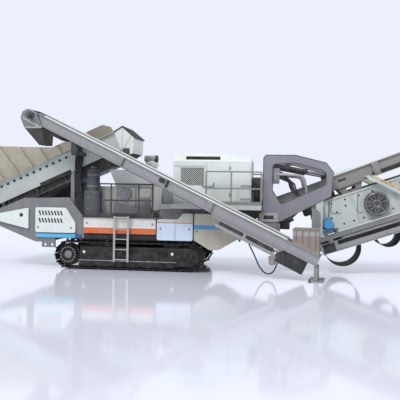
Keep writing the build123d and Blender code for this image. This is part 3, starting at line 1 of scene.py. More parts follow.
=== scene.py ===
# %% [markdown]
# # A tracked mobile crushing plant
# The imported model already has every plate, beam, drum and belt at its real size. This notebook dresses it:
# paint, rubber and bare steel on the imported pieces, and then the small parts that make a machine look
# built, such as track shoes, bolts, doors, springs and hoses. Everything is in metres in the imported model's
# frame.

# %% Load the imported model
import bpy
import json
import math
from mathutils import Matrix, Vector

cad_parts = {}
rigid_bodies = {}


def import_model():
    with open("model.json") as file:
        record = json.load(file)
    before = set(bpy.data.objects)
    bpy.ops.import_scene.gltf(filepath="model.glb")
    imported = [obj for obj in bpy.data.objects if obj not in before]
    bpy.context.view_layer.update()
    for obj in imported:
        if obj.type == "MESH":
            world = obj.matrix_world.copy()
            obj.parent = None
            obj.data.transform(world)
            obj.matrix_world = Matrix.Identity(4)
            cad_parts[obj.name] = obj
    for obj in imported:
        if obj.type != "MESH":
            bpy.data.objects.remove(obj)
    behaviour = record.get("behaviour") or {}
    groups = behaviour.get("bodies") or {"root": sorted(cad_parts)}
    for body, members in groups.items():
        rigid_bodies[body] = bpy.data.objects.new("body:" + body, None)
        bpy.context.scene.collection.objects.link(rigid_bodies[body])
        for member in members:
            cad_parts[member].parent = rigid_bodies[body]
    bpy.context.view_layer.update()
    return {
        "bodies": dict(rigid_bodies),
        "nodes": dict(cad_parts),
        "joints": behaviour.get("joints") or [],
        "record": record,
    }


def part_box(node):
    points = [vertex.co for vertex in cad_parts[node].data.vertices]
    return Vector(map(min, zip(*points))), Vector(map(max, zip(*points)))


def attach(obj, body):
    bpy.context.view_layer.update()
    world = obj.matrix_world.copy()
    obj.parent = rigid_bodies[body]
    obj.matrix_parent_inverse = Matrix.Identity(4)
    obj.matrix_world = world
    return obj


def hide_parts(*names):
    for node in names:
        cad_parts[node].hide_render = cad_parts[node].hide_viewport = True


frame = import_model()
nodes = frame["nodes"]
near_track_low, near_track_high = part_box("track_chain_near")
far_track_low, far_track_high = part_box("track_chain_far")
mid_y = (near_track_low.y + far_track_high.y) / 2

# %% [markdown]
# The photograph was taken from the machine's near side with a longish lens, a little to the right of its
# middle and a little above the deck. A camera is a position, a viewing direction and a small roll.

# %% Camera at the photograph's viewing angle
VIEW_AZIMUTH = math.radians(6.5)
VIEW_PITCH = math.radians(-0.86)
VIEW_ROLL = math.radians(1.0)
VIEW_DISTANCE = 20.0
VIEW_TARGET = Vector((-1.11, mid_y - 1.4, 2.19))
FOCAL_PIXELS = 667
PICTURE_PIXELS = 400

forward = Vector((-math.sin(VIEW_AZIMUTH) * math.cos(VIEW_PITCH),
                  math.cos(VIEW_AZIMUTH) * math.cos(VIEW_PITCH), math.sin(VIEW_PITCH)))
right = Vector((math.cos(VIEW_AZIMUTH), math.sin(VIEW_AZIMUTH), 0))
up = right.cross(forward)
camera_x = math.cos(VIEW_ROLL) * right + math.sin(VIEW_ROLL) * up
camera_y = math.cos(VIEW_ROLL) * up - math.sin(VIEW_ROLL) * right
bpy.ops.object.camera_add(location=VIEW_TARGET - VIEW_DISTANCE * forward)
camera = bpy.context.object
camera.rotation_euler = Matrix((camera_x, camera_y, -forward)).transposed().to_euler()
camera.data.sensor_width = 36
camera.data.lens = FOCAL_PIXELS / PICTURE_PIXELS * camera.data.sensor_width
camera.data.clip_end = 400
bpy.context.scene.camera = camera
print("camera", camera.location, "lens", camera.data.lens)

# %% [markdown]
# Colours are written as sRGB hex, the way a paint chart gives them, and Blender's shaders want linear
# light, so one function converts them. One more small function adds a shader node with its settings and its
# links, which keeps each material below to a few readable lines.

# %% Helpers for materials
def linear(code):
    """Linear colour with alpha from an sRGB hex code."""
    parts = [int(code[i:i + 2], 16) / 255 for i in (1, 3, 5)]
    return [p / 12.92 if p <= 0.04045 else ((p + 0.055) / 1.055) ** 2.4 for p in parts] + [1.0]


def add_node(tree, kind, inputs=None, **settings):
    """Add a node: settings are its properties, inputs are sockets given a value or a link."""
    node = tree.nodes.new(kind)
    for key, value in settings.items():
        setattr(node, key, value)
    for socket, source in (inputs or {}).items():
        if isinstance(source, bpy.types.NodeSocket):
            tree.links.new(source, node.inputs[socket])
        else:
            node.inputs[socket].default_value = source
    return node


def new_material(name):
    """A material with its node tree, its Principled shader and the piece's own coordinates."""
    material = bpy.data.materials.new(name)
    material.use_nodes = True
    tree = material.node_tree
    place = add_node(tree, "ShaderNodeTexCoord").outputs["Object"]
    return material, tree, tree.nodes["Principled BSDF"], place


# %% [markdown]
# Most of the machine is satin polyurethane enamel sprayed on steel plate. Close up it has a slight orange
# peel; from where the photograph was taken the eye sees soft blotches of dust, faint rain streaks down the
# plates and small dark chips. The blotches are half a metre wide, the streaks are a hand wide and a metre
# long, and the orange peel is drawn at 25 mm, coarser than the real 3 mm, so that it shows at all.

# %% Sprayed enamel on steel plate
BLOTCH_SIZE = 0.55
STREAK_WIDTH = 0.09
STREAK_LENGTH = 1.3
PEEL_SIZE = 0.025
CHIP_SIZE = 0.05


def enamel_colour(tree, place, paint, dust, dust_share):
    """Colour of dusty paint: the paint colour or socket, a dust colour and how much of it lies on top."""
    blotch = add_node(tree, "ShaderNodeTexNoise", {"Vector": place, "Scale": 1 / BLOTCH_SIZE, "Detail": 6.0})
    stretch = add_node(tree, "ShaderNodeMapping", {
        "Vector": place, "Scale": (1 / STREAK_WIDTH, 1 / STREAK_WIDTH, 1 / STREAK_LENGTH)})
    streak = add_node(tree, "ShaderNodeTexNoise", {
        "Vector": stretch.outputs[0], "Scale": 1.0, "Detail": 3.0})
    both = add_node(tree, "ShaderNodeMath", {0: blotch.outputs["Fac"], 1: streak.outputs["Fac"]},
                    operation="MULTIPLY")
    amount = add_node(tree, "ShaderNodeMapRange", {
        "Value": both.outputs[0], "From Min": 0.16, "From Max": 0.42, "To Min": 0.0, "To Max": dust_share})
    dusty = add_node(tree, "ShaderNodeMix", {
        "Factor": amount.outputs[0], "A": paint, "B": linear(dust)}, data_type="RGBA")
    chip = add_node(tree, "ShaderNodeTexVoronoi", {
        "Vector": place, "Scale": 1 / CHIP_SIZE, "Randomness": 1.0})
    spot = add_node(tree, "ShaderNodeMath", {0: chip.outputs["Distance"], 1: 0.1}, operation="LESS_THAN")
    rare = add_node(tree, "ShaderNodeMath", {0: blotch.outputs["Fac"], 1: 0.62}, operation="GREATER_THAN")
    chipped = add_node(tree, "ShaderNodeMath", {0: spot.outputs[0], 1: rare.outputs[0]},
                       operation="MULTIPLY")
    return add_node(tree, "ShaderNodeMix", {
        "Factor": chipped.outputs[0], "A": dusty.outputs["Result"], "B": linear("#4c4a46")},
        data_type="RGBA").outputs["Result"], blotch.outputs["Fac"]


def finish_enamel(tree, shader, place, colour, blotch, roughness):
    """Link a paint colour to the shader with uneven gloss and orange peel."""
    tree.links.new(colour, shader.inputs["Base Color"])
    gloss = add_node(tree, "ShaderNodeMapRange", {
        "Value": blotch, "To Min": roughness - 0.1, "To Max": roughness + 0.15})
    tree.links.new(gloss.outputs[0], shader.inputs["Roughness"])
    shader.inputs["IOR"].default_value = 1.5
    peel = add_node(tree, "ShaderNodeTexNoise", {"Vector": place, "Scale": 1 / PEEL_SIZE, "Detail": 2.0})
    bump = add_node(tree, "ShaderNodeBump", {
        "Height": peel.outputs["Fac"], "Strength": 0.05, "Distance": 0.004})
    tree.links.new(bump.outputs[0], shader.inputs["Normal"])


def enamel(name, paint, dust="#a79f8e", dust_share=0.35, roughness=0.42):
    """Plain enamel of one colour."""
    material, tree, shader, place = new_material(name)
    colour, blotch = enamel_colour(tree, place, linear(paint), dust, dust_share)
    finish_enamel(tree, shader, place, colour, blotch, roughness)
    return material


def banded_enamel(name, ground, bands, dust_share=0.3):
    """Enamel with straight painted bands: each band is (axis, low, high, colour) in metres."""
    material, tree, shader, place = new_material(name)
    axes = add_node(tree, "ShaderNodeSeparateXYZ", {0: place})
    painted = linear(ground)
    for axis, low, high, colour in bands:
        above = add_node(tree, "ShaderNodeMath", {0: axes.outputs[axis], 1: low}, operation="GREATER_THAN")
        below = add_node(tree, "ShaderNodeMath", {0: axes.outputs[axis], 1: high}, operation="LESS_THAN")
        inside = add_node(tree, "ShaderNodeMath", {0: above.outputs[0], 1: below.outputs[0]},
                          operation="MULTIPLY")
        mixed = add_node(tree, "ShaderNodeMix", {
            "Factor": inside.outputs[0], "A": painted, "B": linear(colour)}, data_type="RGBA")
        painted = mixed.outputs["Result"]
    colour, blotch = enamel_colour(tree, place, painted, "#a79f8e", dust_share)
    finish_enamel(tree, shader, place, colour, blotch, 0.4)
    return material


# %% [markdown]
# The other finishes are hot-dip galvanised steel with its grey spangle, worn cast steel on the tracks with
# bright rubbed spots, weathered plate, and rubber belting with a dusty bloom. They share one pattern: two
# tones mixed by noise at a real size, with roughness that follows the tones.

# %% Metals and rubber
def two_tone(name, dark, light, size, roughness, metallic, bump_size, bump_strength, contrast=0.25):
    """A material of two tones mixed by noise of a real size, with roughness and relief to match."""
    material, tree, shader, place = new_material(name)
    grain = add_node(tree, "ShaderNodeTexNoise", {"Vector": place, "Scale": 1 / size, "Detail": 8.0})
    tone = add_node(tree, "ShaderNodeMapRange", {
        "Value": grain.outputs["Fac"], "From Min": 0.5 - contrast, "From Max": 0.5 + contrast})
    colour = add_node(tree, "ShaderNodeMix", {
        "Factor": tone.outputs[0], "A": linear(dark), "B": linear(light)}, data_type="RGBA")
    tree.links.new(colour.outputs["Result"], shader.inputs["Base Color"])
    gloss = add_node(tree, "ShaderNodeMapRange", {
        "Value": tone.outputs[0], "To Min": roughness + 0.1, "To Max": roughness - 0.1})
    tree.links.new(gloss.outputs[0], shader.inputs["Roughness"])
    shader.inputs["Metallic"].default_value = metallic
    relief = add_node(tree, "ShaderNodeTexNoise", {"Vector": place, "Scale": 1 / bump_size, "Detail": 4.0})
    bump = add_node(tree, "ShaderNodeBump", {
        "Height": relief.outputs["Fac"], "Strength": bump_strength, "Distance": 0.006})
    tree.links.new(bump.outputs[0], shader.inputs["Normal"])
    return material


finish = {
    "pale": enamel("pale_green_white_enamel", "#dfe6e1", dust_share=0.18),
    "white": enamel("white_enamel", "#eceeea", dust_share=0.15),
    "feeder": enamel("light_grey_enamel", "#bfc7c2", dust_share=0.3),
    "beige": enamel("beige_enamel", "#cfc7ae", dust="#a0977f", dust_share=0.4, roughness=0.5),
    "screen": enamel("green_grey_enamel", "#bcc5bf", dust_share=0.3),
    "chassis": enamel("mid_grey_enamel", "#77787a", dust_share=0.3),
    "conveyor": enamel("conveyor_grey_enamel", "#8e8d8a", dust_share=0.3),
    "boom": enamel("blue_grey_enamel", "#85848c", dust_share=0.25),
    "dark": enamel("dark_blue_grey_enamel", "#3d444d", dust_share=0.2),
    "black": enamel("black_enamel", "#222325", dust_share=0.2, roughness=0.5),
    "motor": enamel("blue_motor_enamel", "#3f88bb", dust_share=0.2),
    "yellow": enamel("yellow_enamel", "#d9a84e", dust_share=0.2),
    "orange": enamel("orange_enamel", "#d5672f", dust_share=0.2),
    "blue_bar": banded_enamel("blue_bar_enamel", "#4fb3e3", [("X", -4.98, 0.0, "#1f4a7a")]),
    "stripes": banded_enamel("striped_panel_enamel", "#dcdcd6", [
        ("Z", 1.0, 1.29, "#d5672f"), ("Z", 1.29, 1.315, "#eeeeea")]),
    "cabinet": banded_enamel("two_tone_cabinet_enamel", "#c6c8bc", [
        ("Z", 0.0, 1.47, "#cfdcee"), ("Z", 1.47, 1.49, "#b5483c")]),
    "tail": banded_enamel("striped_tail_enamel", "#c8c3af", [("Z", 1.30, 1.43, "#4f9fd0")]),
    "guard": enamel("cream_enamel", "#f0efe4", dust_share=0.2),
    "light_grey": enamel("pale_grey_enamel", "#a9aaa8", dust_share=0.3),
    "posts": banded_enamel("feeder_post_enamel", "#26272a", [("X", -5.31, -5.19, "#8f9290")]),
    "casting": enamel("pale_casting_enamel", "#dcdad2", dust_share=0.3),
    "rail": enamel("rail_grey_enamel", "#858b88", dust_share=0.2),
    "product": enamel("silver_grey_enamel", "#c9c9c6", dust_share=0.25),
    "tail_hopper": banded_enamel("tail_hopper_enamel", "#857b75", [
        ("Z", 1.27, 1.475, "#a3a09c"), ("Z", 1.475, 2.1, "#777a7c")], 0.4),
    "underframe": banded_enamel("underframe_enamel", "#8e8d8a", [
        ("X", 0.3, 2.15, "#1d1e20"), ("X", -5.2, -4.6, "#26272a")], 0.15),
    "chute": banded_enamel("chute_enamel", "#3a3b37", [("Z", 4.30, 6.0, "#737977")]),
    "platform": banded_enamel("pack_platform_enamel", "#c3c8c6", [
        ("Z", 0.0, 1.915, "#2a2b2d"), ("X", -2.4, -2.005, "#a3aaa7")]),
    "galvanised": two_tone("galvanised_steel", "#85858a", "#b0afab", 0.05, 0.45, 0.5, 0.03, 0.06, 0.4),
    "weathered": two_tone("weathered_plate", "#6b615a", "#9a928b", 0.25, 0.6, 0.3, 0.02, 0.12),
    "rotor": two_tone("dark_cast_steel", "#3c3d3c", "#6a6b68", 0.12, 0.5, 0.6, 0.02, 0.1),
    "track": two_tone("worn_track_steel", "#1c1c1d", "#4a4845", 0.16, 0.55, 0.7, 0.02, 0.2),
    "steel": two_tone("bare_machined_steel", "#6e6e6e", "#a9a9a6", 0.12, 0.38, 0.85, 0.02, 0.05),
    "rubber": two_tone("belt_rubber", "#1d1d1e", "#3c3a37", 0.3, 0.75, 0.0, 0.03, 0.15),
    "hose": two_tone("hose_rubber", "#141414", "#2a2a2a", 0.1, 0.5, 0.0, 0.02, 0.05),
}
print("finishes", sorted(finish))

# %% [markdown]
# The screen decks are woven wire cloth: round spring-steel wires crossing at right angles, with square
# holes that look black from above because they show the shade under the deck, and that black is painted
# in: painted shade. Real holes are some 30 mm wide, so a grid of 60 mm cells is drawn here, coarse enough
# to show. Every hole could be cut in the mesh, but thousands of holes cost far more than two counting
# nodes do.

# %% Woven wire cloth with painted shade holes
CELL_SIZE = 0.06
WIRE_SHARE = 0.3
cloth, tree, shader, place = new_material("woven_wire_cloth_painted_shade_holes")
cells = add_node(tree, "ShaderNodeMapping", {"Vector": place, "Scale": (1 / CELL_SIZE, 1 / CELL_SIZE, 1.0)})
axes = add_node(tree, "ShaderNodeSeparateXYZ", {0: cells.outputs[0]})
open_cell = 1.0
for axis in ("X", "Y"):
    share = add_node(tree, "ShaderNodeMath", {0: axes.outputs[axis]}, operation="FRACT")
    clear = add_node(tree, "ShaderNodeMath", {0: share.outputs[0], 1: WIRE_SHARE}, operation="GREATER_THAN")
    both = add_node(tree, "ShaderNodeMath", {0: clear.outputs[0], 1: open_cell}, operation="MULTIPLY")
    open_cell = both.outputs[0]
# Wires grey, holes black: the black is painted shade seen through the holes.
wire_colour = add_node(tree, "ShaderNodeMix", {
    "Factor": open_cell, "A": linear("#8d8c88"), "B": linear("#141414")}, data_type="RGBA")
tree.links.new(wire_colour.outputs["Result"], shader.inputs["Base Color"])
relief = add_node(tree, "ShaderNodeMath", {0: 1.0, 1: open_cell}, operation="SUBTRACT")
bump = add_node(tree, "ShaderNodeBump", {"Height": relief.outputs[0], "Strength": 0.4, "Distance": 0.01})
tree.links.new(bump.outputs[0], shader.inputs["Normal"])
shader.inputs["Metallic"].default_value = 0.5
shader.inputs["Roughness"].default_value = 0.55
finish["mesh"] = cloth
print("wire cloth cells", CELL_SIZE)

# %% [markdown]
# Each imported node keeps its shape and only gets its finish: its material slots are filled with the finish
# that the real piece has.

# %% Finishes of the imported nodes
NODE_FINISHES = {
    "pale": ["power_pack_housing", "louvre_doors", "nose_panels", "crusher_inlet", "exhaust_stack"],
    "white": ["feeder_head_hood"],
    "feeder": ["feeder_side_near", "feeder_side_far"],
    "posts": ["feeder_posts"],
    "casting": ["crusher_frame"],
    "rail": ["power_pack_handrails"],
    "product": ["product_conveyor_frame"],
    "rotor": ["exciter_rotor"],
    "mesh": ["screen_decks"],
    "beige": ["hopper_wall_near", "hopper_wall_far", "hopper_wall_rear"],
    "guard": ["belt_guards"],
    "screen": ["screen_sides", "screen_suspension"],
    "chute": ["return_chute"],
    "platform": ["power_pack_platform"],
    "light_grey": ["ladder"],
    "underframe": ["return_underframe"],
    "chassis": ["chassis_side_near", "chassis_side_far", "chassis_cross_members", "car_body",
                "screen_subframe"],
    "black": ["crusher_platform", "crusher_handrails", "oil_cooler", "boom_base_beam"],
    "dark": ["oil_tank"],
    "boom": ["boom_frame_near", "boom_frame_far", "boom_cross_tubes"],
    "conveyor": ["main_conveyor_frame"],
    "galvanised": ["return_conveyor_frame"],
    "tail_hopper": ["return_tail_hopper"],
    "track": ["track_chain_near", "track_chain_far", "track_frame_near", "track_frame_far", "track_wheels",
              "final_drives", "crusher_jaws"],
    "steel": ["conveyor_drums", "exciter_tube", "screen_springs"],
    "rubber": ["feeder_belt", "main_conveyor_belt", "product_conveyor_belt", "return_conveyor_belt"],
    "hose": ["drain_hose"],
    "blue_bar": ["blue_bars"],
    "motor": ["screen_motor"],
    "stripes": ["stripe_panels"],
    "cabinet": ["side_cabinets"],
    "tail": ["tail_panels"],
}
for key, names in NODE_FINISHES.items():
    for name in names:
        nodes[name].data.materials.clear()
        nodes[name].data.materials.append(finish[key])
unfinished = set(nodes) - {name for names in NODE_FINISHES.values() for name in names}
print("nodes without a finish", unfinished)

# %% [markdown]
# The small parts are modelled the way one would by hand: a primitive at its size and place, shaped in edit
# mode or by a modifier that is applied. The helpers in the next cells stand for a bar of steel, a round
# bar, a cut plate, a bent pipe and a hexagon bolt, which are the stock that a plant like this is welded
# from. Places and turns come first. They are matrices that move a piece's mesh, so that its object stays at
# the origin.

# %% Places and turns
BODY = "plant"
PLANT = Matrix.Identity(4)


def at(x, y, z):
    """The place of a point, as a matrix."""
    return Matrix.Translation((x, y, z))


def turned(degrees, axis="Y"):
    """A turn about an axis, as a matrix."""
    return Matrix.Rotation(math.radians(degrees), 4, axis)


def standing(along, across, up):
    """The three axes of a part, as a matrix."""
    return Matrix((along, across, up)).transposed().to_4x4()


def circle_spots(count, radius):
    """Points spread evenly round a circle, as pairs of X and Z."""
    angles = [math.tau * i / count for i in range(count)]
    return [(radius * math.cos(angle), radius * math.sin(angle)) for angle in angles]


# %% [markdown]
# An operator acts on all that is selected, so each helper deselects first. A modifier is applied at once,
# so that what is joined and copied later is plain mesh.

# %% Selecting, editing and modifiers
def deselect():
    """Clear the selection before an operator."""
    bpy.ops.object.select_all(action="DESELECT")


def edit_all(piece):
    """Open a piece in edit mode with everything selected."""
    deselect()
    piece.select_set(True)
    bpy.context.view_layer.objects.active = piece
    bpy.ops.object.mode_set(mode="EDIT")
    bpy.ops.mesh.select_all(action="SELECT")


def modified(piece, kind, **settings):
    """Add a modifier with its settings and apply it."""
    modifier = piece.modifiers.new("step", kind)
    for key, value in settings.items():
        setattr(modifier, key, value)
    bpy.context.view_layer.objects.active = piece
    bpy.ops.object.modifier_apply(modifier="step")
    return piece


def bevelled(piece, width, segments=2):
    """Break the sharp edges of a piece."""
    return modified(piece, "BEVEL", width=width, segments=segments, limit_method="ANGLE")


def placed(piece, matrix):
    """Move a piece's mesh by a matrix, so that its object stays at the origin."""
    piece.data.transform(matrix)
    return piece


# %% [markdown]
# Bars and plates are bought as stock and cut to length. A bar starts as a cube, a round bar as a cone, so
# that it can taper, and a plate as a disc whose corners are moved onto the outline before it is extruded.
# Real steel has a broken edge that catches the light, so each one is bevelled.

# %% Bars and plates
def block(low, high, bevel=0.005, frame=PLANT):
    """A bar of steel between two corners of a frame, with broken edges."""
    deselect()
    low, high = Vector(low), Vector(high)
    bpy.ops.mesh.primitive_cube_add(size=1, location=(low + high) / 2, scale=high - low)
    bpy.ops.object.transform_apply(location=True, rotation=True, scale=True)
    return placed(bevelled(bpy.context.object, bevel), frame)


def rod(start, end, radius, sides=20, end_radius=None, bevel=0.003, frame=PLANT):
    """A round or tapered bar between two points of a frame, with broken end edges."""
    deselect()
    start, end = Vector(start), Vector(end)
    bpy.ops.mesh.primitive_cone_add(vertices=sides, radius1=radius, radius2=end_radius or radius,
                                    depth=(end - start).length)
    piece = bpy.context.object
    piece.matrix_world = (Matrix.Translation((start + end) / 2)
                          @ (end - start).to_track_quat("Z", "Y").to_matrix().to_4x4())
    bpy.ops.object.transform_apply(location=True, rotation=True, scale=True)
    return placed(bevelled(piece, bevel, 1), frame)


def cut_plate(outline, y, thickness, bevel=0.003):
    """A plate seen from the side: X and Z points of its outline, extruded across the machine."""
    deselect()
    bpy.ops.mesh.primitive_circle_add(vertices=len(outline), fill_type="NGON")
    piece = bpy.context.object
    for vertex, (x, z) in zip(piece.data.vertices, outline):
        vertex.co = (x, y, z)
    edit_all(piece)
    bpy.ops.mesh.extrude_region_move(TRANSFORM_OT_translate={"value": (0, thickness, 0)})
    bpy.ops.mesh.select_all(action="SELECT")
    bpy.ops.mesh.normals_make_consistent(inside=False)
    bpy.ops.object.mode_set(mode="OBJECT")
    return bevelled(piece, bevel, 1)


# %% [markdown]
# Pipes and hoses follow a line of points. A curve with a round section bends evenly, where a row of
# cylinders would show a kink at each corner.

# %% Pipes and hoses
def round_line(points, radius, smooth=True, closed=False, steps=6, roundness=2):
    """A curve along points with a round section."""
    deselect()
    bpy.ops.curve.primitive_nurbs_path_add()
    curve = bpy.context.object
    curve.data.splines.clear()
    spline = curve.data.splines.new("NURBS" if smooth else "POLY")
    spline.points.add(len(points) - 1)
    for point, place in zip(spline.points, points):
        point.co = (*place, 1)
    spline.use_cyclic_u = closed
    if smooth:
        spline.order_u = 3
        spline.use_endpoint_u = True
    curve.data.resolution_u = steps
    curve.data.bevel_depth = radius
    curve.data.bevel_resolution = roundness
    curve.data.use_fill_caps = True
    return curve


def pipe(points, radius, smooth=True, closed=False):
    """A bent pipe or welded bead along points: a round line made a mesh."""
    round_line(points, radius, smooth, closed)
    bpy.ops.object.convert(target="MESH")
    return bpy.context.object


# %% [markdown]
# What repeats is modelled once and copied, and most of what is on the near side is on the far side too. A
# mirror turns a shape inside out, so the normals of the mirrored copy are flipped back.

# %% Copies
def copy_of(piece, matrix):
    """A copy with its own mesh, moved by a matrix."""
    twin = piece.copy()
    twin.data = piece.data.copy()
    bpy.context.collection.objects.link(twin)
    return placed(twin, matrix)


def copies(master, places):
    """Copies of a master at all its places. The master itself goes."""
    twins = [copy_of(master, place) for place in places]
    bpy.data.objects.remove(master)
    return twins


def joined(pieces):
    """Join pieces into one mesh at the origin."""
    deselect()
    for piece in pieces:
        piece.select_set(True)
    bpy.context.view_layer.objects.active = pieces[0]
    bpy.ops.object.join()
    bpy.ops.object.transform_apply(location=True, rotation=True, scale=True)
    return bpy.context.object


def mirrored(pieces):
    """The pieces and their mirror images across the machine's middle plane, with normals set right."""
    flip = at(0, 2 * mid_y, 0) @ Matrix.Scale(-1, 4, (0, 1, 0))
    twins = [copy_of(piece, flip) for piece in pieces]
    for twin in twins:
        twin.data.flip_normals()
    return pieces + twins


# %% [markdown]
# A finished piece is joined to one mesh, named, smoothed across shallow angles only, painted, and tied to
# the body that it moves with. A bolt head is the smallest part that still shows: a hexagon on a round
# washer.

# %% Finished pieces and bolts
def settle(pieces, name, key, body=BODY):
    """Join, name and finish a piece, and let it ride on its body."""
    piece = joined(pieces)
    piece.name = name
    piece.data.name = name
    deselect()
    piece.select_set(True)
    bpy.ops.object.shade_smooth_by_angle(angle=math.radians(35))
    piece.data.materials.clear()
    piece.data.materials.append(finish[key])
    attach(piece, body)
    print(name, len(piece.data.polygons), "faces")
    return piece


def bolt(radius, height, washer=1.5):
    """A hexagon head on a washer, standing on the plane Z = 0."""
    head = rod((0, 0, 0), (0, 0, height), radius, 6, bevel=0.12 * radius)
    disc = rod((0, 0, 0), (0, 0, 0.25 * height), washer * radius, 12, bevel=0.05 * radius)
    return joined([head, disc])


# %% [markdown]
# Feeder, conveyors and screen lie on slopes. Each has a frame of its own, with X up or down its slope, Z
# square to it and Y from its middle, so a bar on a conveyor is given in the conveyor's own measures. A part
# on a plate that faces the photographer is modelled lying flat and tipped up.

# %% Frames of the sloping parts
SCREEN_SLOPE = 18.8
NEAR_FACE = turned(90, "X")


def sloped(x, z, angle):
    """Frame of a part tilted in the side view, with its Y from the machine's middle plane."""
    return at(x, mid_y, z) @ turned(-angle)


FEEDER = sloped(-8.300, 1.642, 24.3)
MAIN = sloped(-2.420, 0.9427, 21)
SCREEN = sloped(2.440, 1.135, SCREEN_SLOPE)
PRODUCT = sloped(2.5097, 0.8682, SCREEN_SLOPE)
RETURN_RUN = Vector((0.8984, -0.1023, -0.4271)).normalized()
RETURN_UP = Vector((0.4244, -0.0483, 0.9042)).normalized()
RETURN = at(-6.290, mid_y - 1.308, 4.860) @ standing(RETURN_RUN, RETURN_UP.cross(RETURN_RUN), RETURN_UP)
return_heading = Vector((RETURN_RUN.x, RETURN_RUN.y, 0)).normalized()
HEADING = standing(return_heading, Vector((-return_heading.y, return_heading.x, 0)), Vector((0, 0, 1)))
TAIL = at(2.450, mid_y - 2.303, 0) @ HEADING
HEAD = Matrix.Translation(RETURN.translation) @ HEADING
print("return conveyor head", RETURN.translation)

# %% [markdown]
# The drain hose is 2.1 m of 40 mm rubber hose. It leaves a gland on the chassis, hangs almost to the ground
# in its own curve and goes up into the drive tray. A NURBS curve whose control points are the route's
# points gives a smooth line; a chain of straight pieces and arcs would look like bent wire.

# %% Drain hose
HOSE_POINTS = [(0.25, -0.90, 1.18), (0.25, -1.08, 1.18), (0.38, -1.25, 0.94), (0.56, -1.40, 0.62),
               (0.70, -1.50, 0.30), (0.90, -1.58, 0.09), (1.11, -1.69, 0.15), (1.1949, -1.7601, 0.372),
               (1.2543, -1.7669, 0.4986)]
HOSE_DIAMETER = 0.04
hose = round_line(HOSE_POINTS, HOSE_DIAMETER / 2, steps=12, roundness=4)
hose.name = "drain_hose_line"
hose.data.materials.append(finish["hose"])
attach(hose, BODY)
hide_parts("drain_hose")
sleeve = rod((0.25, -0.905, 1.18), (0.25, -1.03, 1.18), 0.040, 24, 0.023)
gland = rod((0.25, -0.900, 1.18), (0.25, -0.925, 1.18), 0.052, 6)
settle([sleeve, gland], "hose_strain_relief", "hose")

# %% [markdown]
# A crawler chain is a loop of steel shoes bolted to links. One shoe is a plate with a raised grouser across
# it, four bolt heads and two link rails inside. It is modelled once, lying flat, and its copies are set
# along the chain's path: a straight run, half a turn round the idler, the upper run and half a turn round
# the drive.

# %% Crawler shoes
SHOE_COUNT = 49
SHOE_WIDTH = 0.5
WHEEL_MIDDLE_Z = 0.44
OUTER_RADIUS = 0.44
PITCH_RADIUS = 0.37
DRIVE_X, IDLER_X = -5.17, -1.37
LINK_PLACES = (-0.105, 0.105)
CHAIN_RUN = IDLER_X - DRIVE_X
CHAIN_TURN = math.pi * PITCH_RADIUS
SHOE_PITCH = 2 * (CHAIN_RUN + CHAIN_TURN) / SHOE_COUNT


def path_place(distance):
    """Place and axes of the chain at a distance along its pitch line: along, across, outwards."""
    if distance < CHAIN_RUN:
        x, angle = DRIVE_X + distance, -math.pi / 2
    elif distance < CHAIN_RUN + CHAIN_TURN:
        x, angle = IDLER_X, -math.pi / 2 + (distance - CHAIN_RUN) / PITCH_RADIUS
    elif distance < 2 * CHAIN_RUN + CHAIN_TURN:
        x, angle = IDLER_X - (distance - CHAIN_RUN - CHAIN_TURN), math.pi / 2
    else:
        x, angle = DRIVE_X, math.pi / 2 + (distance - 2 * CHAIN_RUN - CHAIN_TURN) / PITCH_RADIUS
    out = Vector((math.cos(angle), 0, math.sin(angle)))
    along = Vector((-math.sin(angle), 0, math.cos(angle)))
    return at(x, 0, WHEEL_MIDDLE_Z) @ Matrix.Translation(OUTER_RADIUS * out) @ standing(
        along, out.cross(along), out)


shoe_bolts = copies(bolt(0.016, 0.014), [at(along, across, -0.038)
                                         for along in (0.02, 0.065) for across in LINK_PLACES])
shoe_plate = cut_plate([
    (-0.100, -0.056), (0.098, -0.056), (0.099, -0.040), (-0.045, -0.036), (-0.058, 0.0), (-0.078, 0.0),
    (-0.086, -0.034), (-0.101, -0.044)], -SHOE_WIDTH / 2, SHOE_WIDTH, 0.002)
rails = [cut_plate([(-0.09, -0.080), (0.09, -0.080), (0.10, -0.07), (0.09, -0.056), (-0.09, -0.056),
                    (-0.10, -0.07)], across - 0.02, 0.04, 0.002) for across in LINK_PLACES]
near_shoe = joined([shoe_plate] + shoe_bolts + rails)
far_shoe = copy_of(near_shoe, PLANT)
for side, shoe, low, high in (("near", near_shoe, near_track_low, near_track_high),
                              ("far", far_shoe, far_track_low, far_track_high)):
    across = at(0, (low.y + high.y) / 2, 0)
    shoes = copies(shoe, [across @ path_place((i + 0.5) * SHOE_PITCH) for i in range(SHOE_COUNT)])
    chain = settle(shoes, "track_shoes_" + side, "track")
    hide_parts("track_chain_" + side)

# %% [markdown]
# The track frame carries a wear strip along its side and two plugged grease points, which show as pale
# dots. The final drive's cover is held by a ring of bolts. Bolts are copies of one head, turned onto the
# cover's face.

# %% Track frame trim and drive bolts
TRACK_FACE = -0.914
GREASE_Z = 0.53
strip = block((-4.86, TRACK_FACE - 0.013, 0.262), (-1.80, TRACK_FACE, 0.292), 0.004)
settle(mirrored([strip]), "track_wear_strips", "steel")
caps = []
for x in (-4.68, -1.94):
    caps += [rod((x, TRACK_FACE, GREASE_Z), (x, TRACK_FACE - 0.016, GREASE_Z), 0.045, 20, 0.040),
             rod((x, TRACK_FACE - 0.014, GREASE_Z), (x, TRACK_FACE - 0.026, GREASE_Z), 0.020, 6)]
settle(mirrored(caps), "track_grease_caps", "white")
DRIVE = at(DRIVE_X, 0, WHEEL_MIDDLE_Z)
drive_trim = copies(bolt(0.020, 0.018, 1.3), [DRIVE @ at(x, -0.970, z) @ NEAR_FACE
                                              for x, z in circle_spots(16, 0.225)])
drive_trim.append(rod((0, -0.938, 0), (0, -0.962, 0), 0.120, 40, 0.105, frame=DRIVE))
settle(mirrored(drive_trim), "final_drive_bolts", "chassis")
